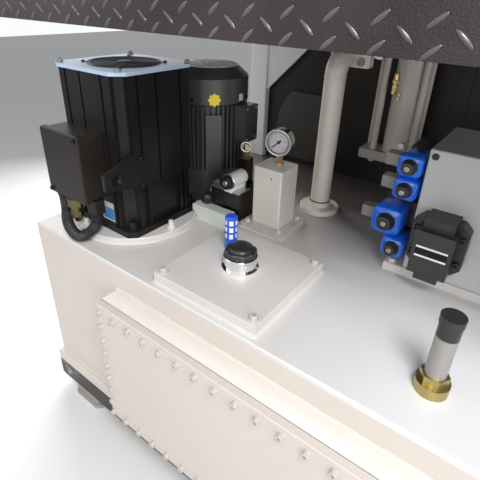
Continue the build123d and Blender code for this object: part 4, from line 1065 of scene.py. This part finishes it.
# %% Dial figures
def figure(text, angle, radius, size):
    """A printed figure, placed on the dial by its angle."""
    data = bpy.data.curves.new("figure", "FONT")
    data.body = text
    data.size = size
    data.align_x = "CENTER"
    data.align_y = "CENTER"
    writer = bpy.data.objects.new("figure", data)
    drawn = bpy.data.meshes.new_from_object(writer)
    flat = np.zeros(3 * len(drawn.vertices))
    drawn.vertices.foreach_get("co", flat)
    way = np.radians(angle)
    flat = flat.reshape(-1, 3) + (radius * np.cos(way), radius * np.sin(way), 0.25)
    dial_face = gauge_axis + dial_forward * gauge_normal
    drawn.vertices.foreach_set("co", ((flat @ GAUGE + dial_face) * MM).ravel())
    bpy.data.objects.remove(writer)
    return drawn


figures = bmesh.new()
for count in range(6):
    figures.from_mesh(figure(str(5 * count), scale_start - scale_sweep * count / 5, 16.2, 5.0))
figures_mesh = bpy.data.meshes.new("gauge_numbers")
figures.to_mesh(figures_mesh)
figures.free()
hand_in("gauge_numbers", figures_mesh, ink_black)
print("triangles in the figures:", len(figures_mesh.polygons))

# %% [markdown]
# The case shows a rounded chrome bezel over a black seal, and a thin clear glass closes it. The
# glass is a nearly clear film with a faint change in its gloss. Cap screws hold the post's foot.

# %% Gauge case and post screws
bezel_rows = [(29.2, 3), (29.2, 8.4), (30.2, 9.5), (32.2, 9.9), (33.8, 9.1), (34.3, 7.6), (34.3, 1.5),
              (33.4, 0.2), (29.2, 0.2), (29.2, 3)]
add_piece("gauge_bezel", on_gauge(lathe(bezel_rows, 96), bezel_forward), worn_chrome, smooth=50)
seal_ring = tube(circle((0, 0), 28.6, 7.2, 72), 0.9, 8, closed=True)
add_piece("gauge_seal_ring", on_gauge(seal_ring, bezel_forward), black_rubber)
glass = Finish("gauge_glass", (0.5, 0.5, 0.52), roughness=0.03, alpha=0.05)
glass.feed("Roughness", glass.noise(30, 2) * 0.04)
glass_shape = lathe([(0, 0), (29, 0), (29, 0.8), (0, 1.0)], 64)
add_piece("gauge_window", on_gauge(glass_shape, glass_forward), glass)

post_margin, foot_z = 15, top_z + 14
foot_places = corners(post_low, post_high, post_margin, foot_z)
add_screws("gauge_post_screws", foot_places, UP, (7, 7, 0.6), top_cream)
print("post screws:", len(foot_places))

# %% [markdown]
# ## Manifold and its coils
# Each coil is a blue bevelled block held by a knurled black nut, with the valve's bright pin in
# its middle. A knurl is a wave round the nut, so the nut is a lathe with a waving radius. One
# table gives each coil's height, its distance to the left and its size.

# %% Coils
def knurled_nut(foot, nose, length):
    """A nut that narrows from foot to nose; its wave is half of 1 + cos(teeth x angle)."""
    teeth, points_per_tooth = 20, 6
    wave = 0.5 + 0.5 * np.cos(np.arange(points_per_tooth * teeth) * 2 * np.pi / points_per_tooth)
    rows = [(0, 0, 0), (foot, 0, 0), (foot, 0.15 * length, 0), (foot - 0.5, 0.2 * length, 1.0),
            (nose, 0.9 * length, 1.0), (nose - 1.5, length, 0), (0.62 * nose, length, 0),
            (0.60 * nose, 0.9 * length, 0), (0, 0.9 * length, 0)]
    return waved_lathe(rows, 1.2, wave)


coil_face_y = box_mm("solenoid_coils")[0][1]
manifold_low, manifold_high = box_mm("manifold_block")
coil_rows = ((252, 32, 1.0), (200, 32, 1.0), (118, 56, 1.22), (58, 32, 1.0))
coil_depth = 68
pin_shape = lathe([(0, 0), (6.0, 0), (6.0, 2.6), (5.3, 3.2), (3.0, 3.2), (2.6, 2.4), (0, 2.4)], 32)
nut_shapes, pin_shapes, coil_shapes = [], [], []
for height, offset, share in coil_rows:
    centre = np.array([manifold_low[0] - offset, coil_face_y, top_z + height])
    coil = 66 if share > 1 else 50
    housing = slab(coil, coil - 4, coil_depth, 0.24 * coil, 3.5, 8)
    coil_shapes.append(repeat(housing, centre + (0, coil_depth, 0), FRONT))
    nut_shapes.append(repeat(knurled_nut(17 * share, 13.5 * share, 17), centre, FRONT))
    pin_shapes.append(repeat(pin_shape, centre - (0, 15.3, 0), FRONT))
nuts = add_piece("coil_knurled_nuts", join(*nut_shapes), black_plastic, smooth=60)
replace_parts(nuts, "coil_nuts")
coils = add_piece("coil_housings", join(*coil_shapes), coil_blue, smooth=50)
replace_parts(coils, "solenoid_coils")
add_piece("coil_pins", join(*pin_shapes), pin_steel)
print("coils:", len(coil_shapes))

# %% [markdown]
# Three of the coils show their plug, with a screw in its end and two sealing lips round it.
# The same table gives their places, so a plug can't drift away from its coil.

# %% Coil plugs
plug_head = lathe([(0, 0), (3, 0), (3, 1.2), (2, 1.8), (0, 1.8)], 20)
lip = slab(29.4, 29.4, 1.6, 3)
plug_screws, plug_lips = [], []
for height, offset, share in coil_rows[:3]:
    plug_x = manifold_low[0] - offset - (33 if share > 1 else 25) - 30.3
    plug_place = np.array([plug_x, coil_face_y + 32, top_z + height + 2])
    plug_screws.append(repeat(plug_head, plug_place, LEFT))
    plug_lips += [repeat(lip, plug_place + (step + 14, 0, 0), LEFT) for step in (7, 12)]
add_piece("coil_plug_screws", join(*plug_screws), bright_steel)
add_piece("coil_plug_gaskets", join(*plug_lips), plug_grey)
print("plugs:", len(plug_screws))

# %% [markdown]
# The base bar, the directional valve's flange and the block's closed ports carry cap screws in
# three sizes. Their places come from the blocks' corners and not from numbers read one by one,
# so they stay square. The valve's plate is blank: a dark band between two pale ones.

# %% Manifold screws and valve plate
bar_left, bar_front, bar_length = top_low[0] + 806, top_low[1] + 385, 330
bar_places = places_at((bar_left + 16, bar_left + bar_length - 16),
                       (bar_front + 14, bar_front + 236), top_z + 20)
add_screws("manifold_bar_screws", bar_places, UP, (8, 9, 0.6), top_cream)

valve_low, valve_high = box_mm("directional_valve")
valve_mid_x, valve_mid_z = (valve_low[0] + valve_high[0]) / 2, top_z + 114
valve_places = places_at(valve_mid_x + BOTH * 44, manifold_low[1] - 30, valve_mid_z + BOTH * 28)
add_screws("valve_flange_screws", valve_places, FRONT, (6.5, 7, 0.6), black_steel)
bands = ((26, 4, label_pale, "cream_paint"), (16, 13, ink_black, "black_plastic"),
         (6, 4, label_pale, "cream_paint"))
for number, (rise, tall, finish, slot_name) in enumerate(bands):
    band_place = (valve_mid_x, manifold_low[1] - 70, top_z + 96 + rise)
    add_piece("valve_plate_band_%d" % number, repeat(slab(60, tall, 0.6, 0.6), band_place, FRONT),
              finish)

upper_port, lower_port = manifold_high[2] - 14, manifold_low[2] + 14
port_places = np.concatenate([
    places_at(manifold_low[0] + 12, manifold_low[1], (manifold_low[2] + 110, upper_port)),
    places_at(manifold_high[0] - 14, manifold_low[1], (lower_port, upper_port))])
add_screws("manifold_plugs", port_places, FRONT, (7, 2.5, 0.6), black_steel)
print("closed ports:", len(port_places))

# %% [markdown]
# ## Small valve and steel block
# The small valve beside the pump motor is a dark block on a foot, with a bright cover plate and
# a lever that ends in a black ball. The ball is a lathe on half a circle.

# %% Small valve
valve_block_low, valve_block_high = box_mm("valve_block")
block_right_x, block_front_y = valve_block_high[0], valve_block_low[1]
block_middle = np.array([block_right_x - 46, block_front_y + 55, top_z])
ball_radius = 18.5
knob_centre = np.array([block_right_x - 98, block_front_y - 10, top_z + 62])
ball = lathe([(ball_radius * np.sin(t), ball_radius - ball_radius * np.cos(t))
              for t in np.linspace(0, np.pi, 24)], 40)
block_shape = join(repeat(slab(60, 70, 51, 1, 0.3), block_middle + (3, 7, 0)),
                   repeat(slab(92, 110, 42, 3, 1.2), block_middle + (0, 0, 50)),
                   repeat(ball, knob_centre - (0, 0, ball_radius)))
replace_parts(add_piece("valve_block_with_knob", block_shape, knob_black), "valve_block")

lever_end = np.array([block_right_x - 92, block_front_y + 22, top_z + 80])
boss_shape = lathe([(0, 0), (11, 0, 6), (11, 8, 6), (6.5, 9), (6.5, 16), (0, 16)], 24)
lever_boss = repeat(boss_shape, lever_end, LEFT)
lever_arm = tube(np.linspace(lever_end - (9, 0, 0), knob_centre, 6), 4.5, 14, upright=(1, 0, 0))
add_piece("valve_lever", join(lever_boss, lever_arm), bright_steel)
cover_plate = repeat(slab(94, 52, 4, 2, 0.8), block_middle + (0, -28, 91.8))
bracket = repeat(slab(36, 24, 7, 2, 1.2), block_middle + (-32, -34, 95.5))
add_piece("valve_cover_plate", join(cover_plate, bracket), bright_steel)
print("ball radius:", ball_radius)

# %% [markdown]
# The light steel block is undercut at its left foot and slopes out above it. Its rings are
# rectangles up its height: how far the left side stands in, the height, and the bevel of the rim.

# %% Steel block
steel_low, steel_high = box_mm("steel_block")
block_rows = ((14, 0, 0), (14, 12, 0), (0, 23, 0), (0, 39.5, 0), (1.5, 41, 1.5))
block_rings = [rectangle((steel_low[0] + left, steel_low[1] + rim), (steel_high[0] - rim, steel_high[1]),
                         steel_low[2] + rise) for left, rise, rim in block_rows]
steel_piece = add_piece("steel_block_dressed", capped(block_rings), steel_green, smooth=25)
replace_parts(steel_piece, "steel_block")
print("steel block height:", block_rows[-1][1])

# %% [markdown]
# The valve's pale coil has a black end nut, a bright pin and a bright rim. Behind it stands a
# relief valve with a steel pull ring. The ring is a torus: a tube on an upright circle.

# %% Solenoid and relief valve
solenoid_low, solenoid_high = box_mm("valve_solenoid")
solenoid_x = (solenoid_low[0] + solenoid_high[0]) / 2
solenoid_front, solenoid_z = solenoid_low[1], solenoid_high[2] - 20
cap_nut = repeat(knurled_nut(19.5, 18, 14), (solenoid_x, solenoid_front + 12.2, solenoid_z), FRONT)
add_piece("solenoid_nut", cap_nut, knob_black, smooth=60)
pin = lathe([(0, 0), (7.6, 0), (7.6, 3.2), (6.8, 4), (3.4, 4), (3.0, 3), (0, 3)], 32)
add_piece("solenoid_pin", repeat(pin, (solenoid_x, solenoid_front + 0.2, solenoid_z), FRONT),
          bright_steel)
rim_profile = [(19.9, -0.2), (20.6, 0.6), (20.6, 2.6), (19.9, 3.4), (19.0, 3.4), (19.0, -0.2), (19.9, -0.2)]
rim = lathe(rim_profile, 48)
add_piece("solenoid_rim", repeat(rim, (solenoid_x, solenoid_front + 14.6, solenoid_z), FRONT),
          bright_steel)

relief_low, relief_high = box_mm("relief_valve")
ring_centre = np.array([*((relief_low + relief_high) / 2)[:2], relief_high[2] - 9])
pull_radius, pull_wire, ring_face = 13, 2.6, np.radians(35)
ring_angle = np.arange(40)[:, None] * 2 * np.pi / 40
ring_line = ring_centre + pull_radius * (
    np.cos(ring_angle) * (np.cos(ring_face), np.sin(ring_face), 0) + np.sin(ring_angle) * (0, 0, 1))
ring_across = (np.sin(ring_face), -np.cos(ring_face), 0)
add_piece("relief_pull_ring", tube(ring_line, pull_wire, 12, upright=ring_across, closed=True),
          bright_steel)
print("pull ring radius:", pull_radius)

# %% [markdown]
# ## Hanging cylinder and rear guard
# The cylinder has brass fittings screwed into its barrel and a steel one at its foot. A dark
# panel with a slanted left edge covers part of the rear guard: rectangles up its height, whose
# left side follows the edge.

# %% Cylinder fittings and guard panel
barrel_x, barrel_y = top_low[0] + 678, box_mm("hanging_cylinder")[0][1] + 41
tall_fitting = lathe([(0, 0), (7.5, 0, 6), (7.5, 14, 6), (5, 15), (5, 26), (8.5, 27, 6),
                      (8.5, 36, 6), (5.5, 37), (5.5, 52), (4, 56), (0, 56)], 24)
small_fitting = lathe([(0, 0), (6, 0, 6), (6, 7, 6), (4, 8), (4, 16), (0, 16)], 24)
side_pipe = lathe([(0, 0), (6, 0), (6, 14), (0, 14)], 20)
add_piece("cylinder_brass_fittings", join(
    repeat(tall_fitting, (barrel_x - 26, barrel_y - 41, top_z + 326)),
    repeat(small_fitting, (barrel_x - 11, barrel_y - 44, top_z + 314)),
    repeat(side_pipe, (barrel_x - 26, barrel_y - 46, top_z + 345), BACK)), brass)
foot_fitting = lathe([(0, 0), (9, 0, 6), (9, 9, 6), (6, 10), (6, 26), (0, 26)], 24)
add_piece("cylinder_foot_fitting", repeat(foot_fitting, (barrel_x + 24, barrel_y - 48, top_z + 190), BACK),
          bright_steel)

guard_y = box_mm("rear_guard")[0][1]
panel_right = top_low[0] + 392
panel_edge = ((150, 20), (177, 63), (200, 118), (208, 176), (230, 224), (245, 243), (256, 259))
panel_rings = [rectangle((top_low[0] + reach, guard_y - 3), (panel_right, guard_y + 1), top_z + rise)
               for reach, rise in panel_edge]
add_piece("guard_panel", capped(panel_rings), panel_grey, smooth=20)
print("panel height:", panel_edge[-1][1] - panel_edge[0][1])

# %% [markdown]
# ## Stand pipe
# A black sealing ring sits between pipe and socket, a weld line marks where the bend starts, and
# two cap screws hold the end flange. Ring and weld are a tube and a bead on a level circle.

# %% Stand pipe
pipe_low, pipe_high = box_mm("standpipe")
pipe_foot = (pipe_low + 56)[:2]
end_flange_x, end_front_y = pipe_high[0] - 54, pipe_high[1] - 26
seal_z, weld_z, flange_mid_z = top_z + 30, top_z + 375, top_z + 411
pipe_seal = tube(circle(pipe_foot, 28.2, seal_z), 1.8, 8, closed=True)
pipe_weld = bead(circle(pipe_foot, 27.2, weld_z, 40), 1.6, step=4.3)
add_piece("pipe_seal", pipe_seal, black_rubber)
add_piece("pipe_weld", pipe_weld, pipe_cream)
end_places = places_at(end_flange_x + BOTH * 32, end_front_y, flange_mid_z)
add_screws("pipe_flange_screws", end_places, FRONT, (10, 9, 0.55), nut_steel)
print("end flange screws:", len(end_places))

# %% [markdown]
# ## Light, floor and background
# To the camera and in reflections the world is plain white, while its light on the object stays
# at a level that keeps colours true. Light Path tells the rays apart: a camera, glass or gloss
# ray reads a strength of 1, and any other ray reads the ambient level.

# %% World
ambient = 0.30
world = bpy.data.worlds.new("studio")
bpy.context.scene.world = world
world.use_nodes = True
sky = world.node_tree
background = sky.nodes["Background"]
background.inputs[0].default_value = (0.96, 0.98, 1.0, 1)
path_kind = sky.nodes.new("ShaderNodeLightPath")
seen = path_kind.outputs["Is Camera Ray"]
for kind in ("Is Transmission Ray", "Is Glossy Ray"):
    either = sky.nodes.new("ShaderNodeMath")
    either.operation = "MAXIMUM"
    sky.links.new(seen, either.inputs[0])
    sky.links.new(path_kind.outputs[kind], either.inputs[1])
    seen = either.outputs[0]
shade = sky.nodes.new("ShaderNodeMapRange")
shade.inputs["To Min"].default_value = ambient
shade.inputs["To Max"].default_value = 1.0
sky.links.new(seen, shade.inputs["Value"])
sky.links.new(shade.outputs[0], background.inputs[1])
print("ambient level:", ambient)

# %% [markdown]
# Five soft lamps stand round the machine. A roof lamp above the front right casts the shadows,
# a broad window at the right fills them, two weak ones lift the front and the left side, and
# the hall's light comes from the back left, on the motors and columns under the deck. That
# one is kept out of reflections, because it would lie white over the servo motor's flat lid.

# %% Lamps
def area_lamp(name, place, target, size, power, colour):
    """A square lamp that faces its target: its -Z axis follows target minus place."""
    data = bpy.data.lights.new(name, "AREA")
    data.size = size
    data.energy = power
    data.color = colour
    lamp = bpy.data.objects.new(name, data)
    lamp.location = place
    lamp.rotation_euler = (Vector(target) - Vector(place)).to_track_quat("-Z", "Y").to_euler()
    bpy.context.scene.collection.objects.link(lamp)
    return lamp


lamp_table = (
    ("roof_light", (0.85, -0.82, 2.25), (0.25, 0.1, 0.6), 0.7, 41, (1.0, 0.985, 0.97)),
    ("window_light", (2.7, -1.5, 1.5), (0, 0.4, 0.8), 1.8, 52, (0.97, 0.98, 1.0)),
    ("front_light", (0.2, -3.2, 1.5), (0, 0.4, 0.8), 1.8, 24, (1, 1, 1)),
    ("hall_light", (-1.95, 1.5, 1.5), (-0.4, 0.4, 0.95), 1.6, 70, (1, 1, 1)),
    ("side_light", (-2.4, -1.4, 2.0), (-0.4, 0.2, 0.6), 1.6, 12, (1, 1, 1)))
lamps = {row[0]: area_lamp(*row) for row in lamp_table}
lamps["hall_light"].visible_glossy = False
print("lamps:", len(lamps))

# %% [markdown]
# The machine stands on a pale painted floor. One wide sheet is enough, since it only has to
# catch the shadow.

# %% Floor
floor_half = 12.0
floor_mesh = bpy.data.meshes.new("floor")
floor_corners = rectangle((-floor_half, -floor_half), (floor_half, floor_half), 0)
floor_mesh.from_pydata(floor_corners, [], [(0, 1, 2, 3)])
floor = bpy.data.objects.new("floor", floor_mesh)
bpy.context.scene.collection.objects.link(floor)
floor_finish = Finish("floor_paint", (0.72, 0.715, 0.71), roughness=0.6)
floor_finish.tint(floor_finish.step(floor_finish.noise(0.8, 4), 0.4, 0.8) * 0.1, (0.6, 0.6, 0.6))
floor_mesh.materials.append(floor_finish.material)
bpy.context.scene.view_settings.view_transform = "Standard"
print("floor width in metres:", 2 * floor_half)

# %% Count the added pieces
pieces_triangles = sum(2 * len(piece.data.polygons) for piece in made_pieces)
print("added pieces:", len(made_pieces), "triangles about", pieces_triangles)
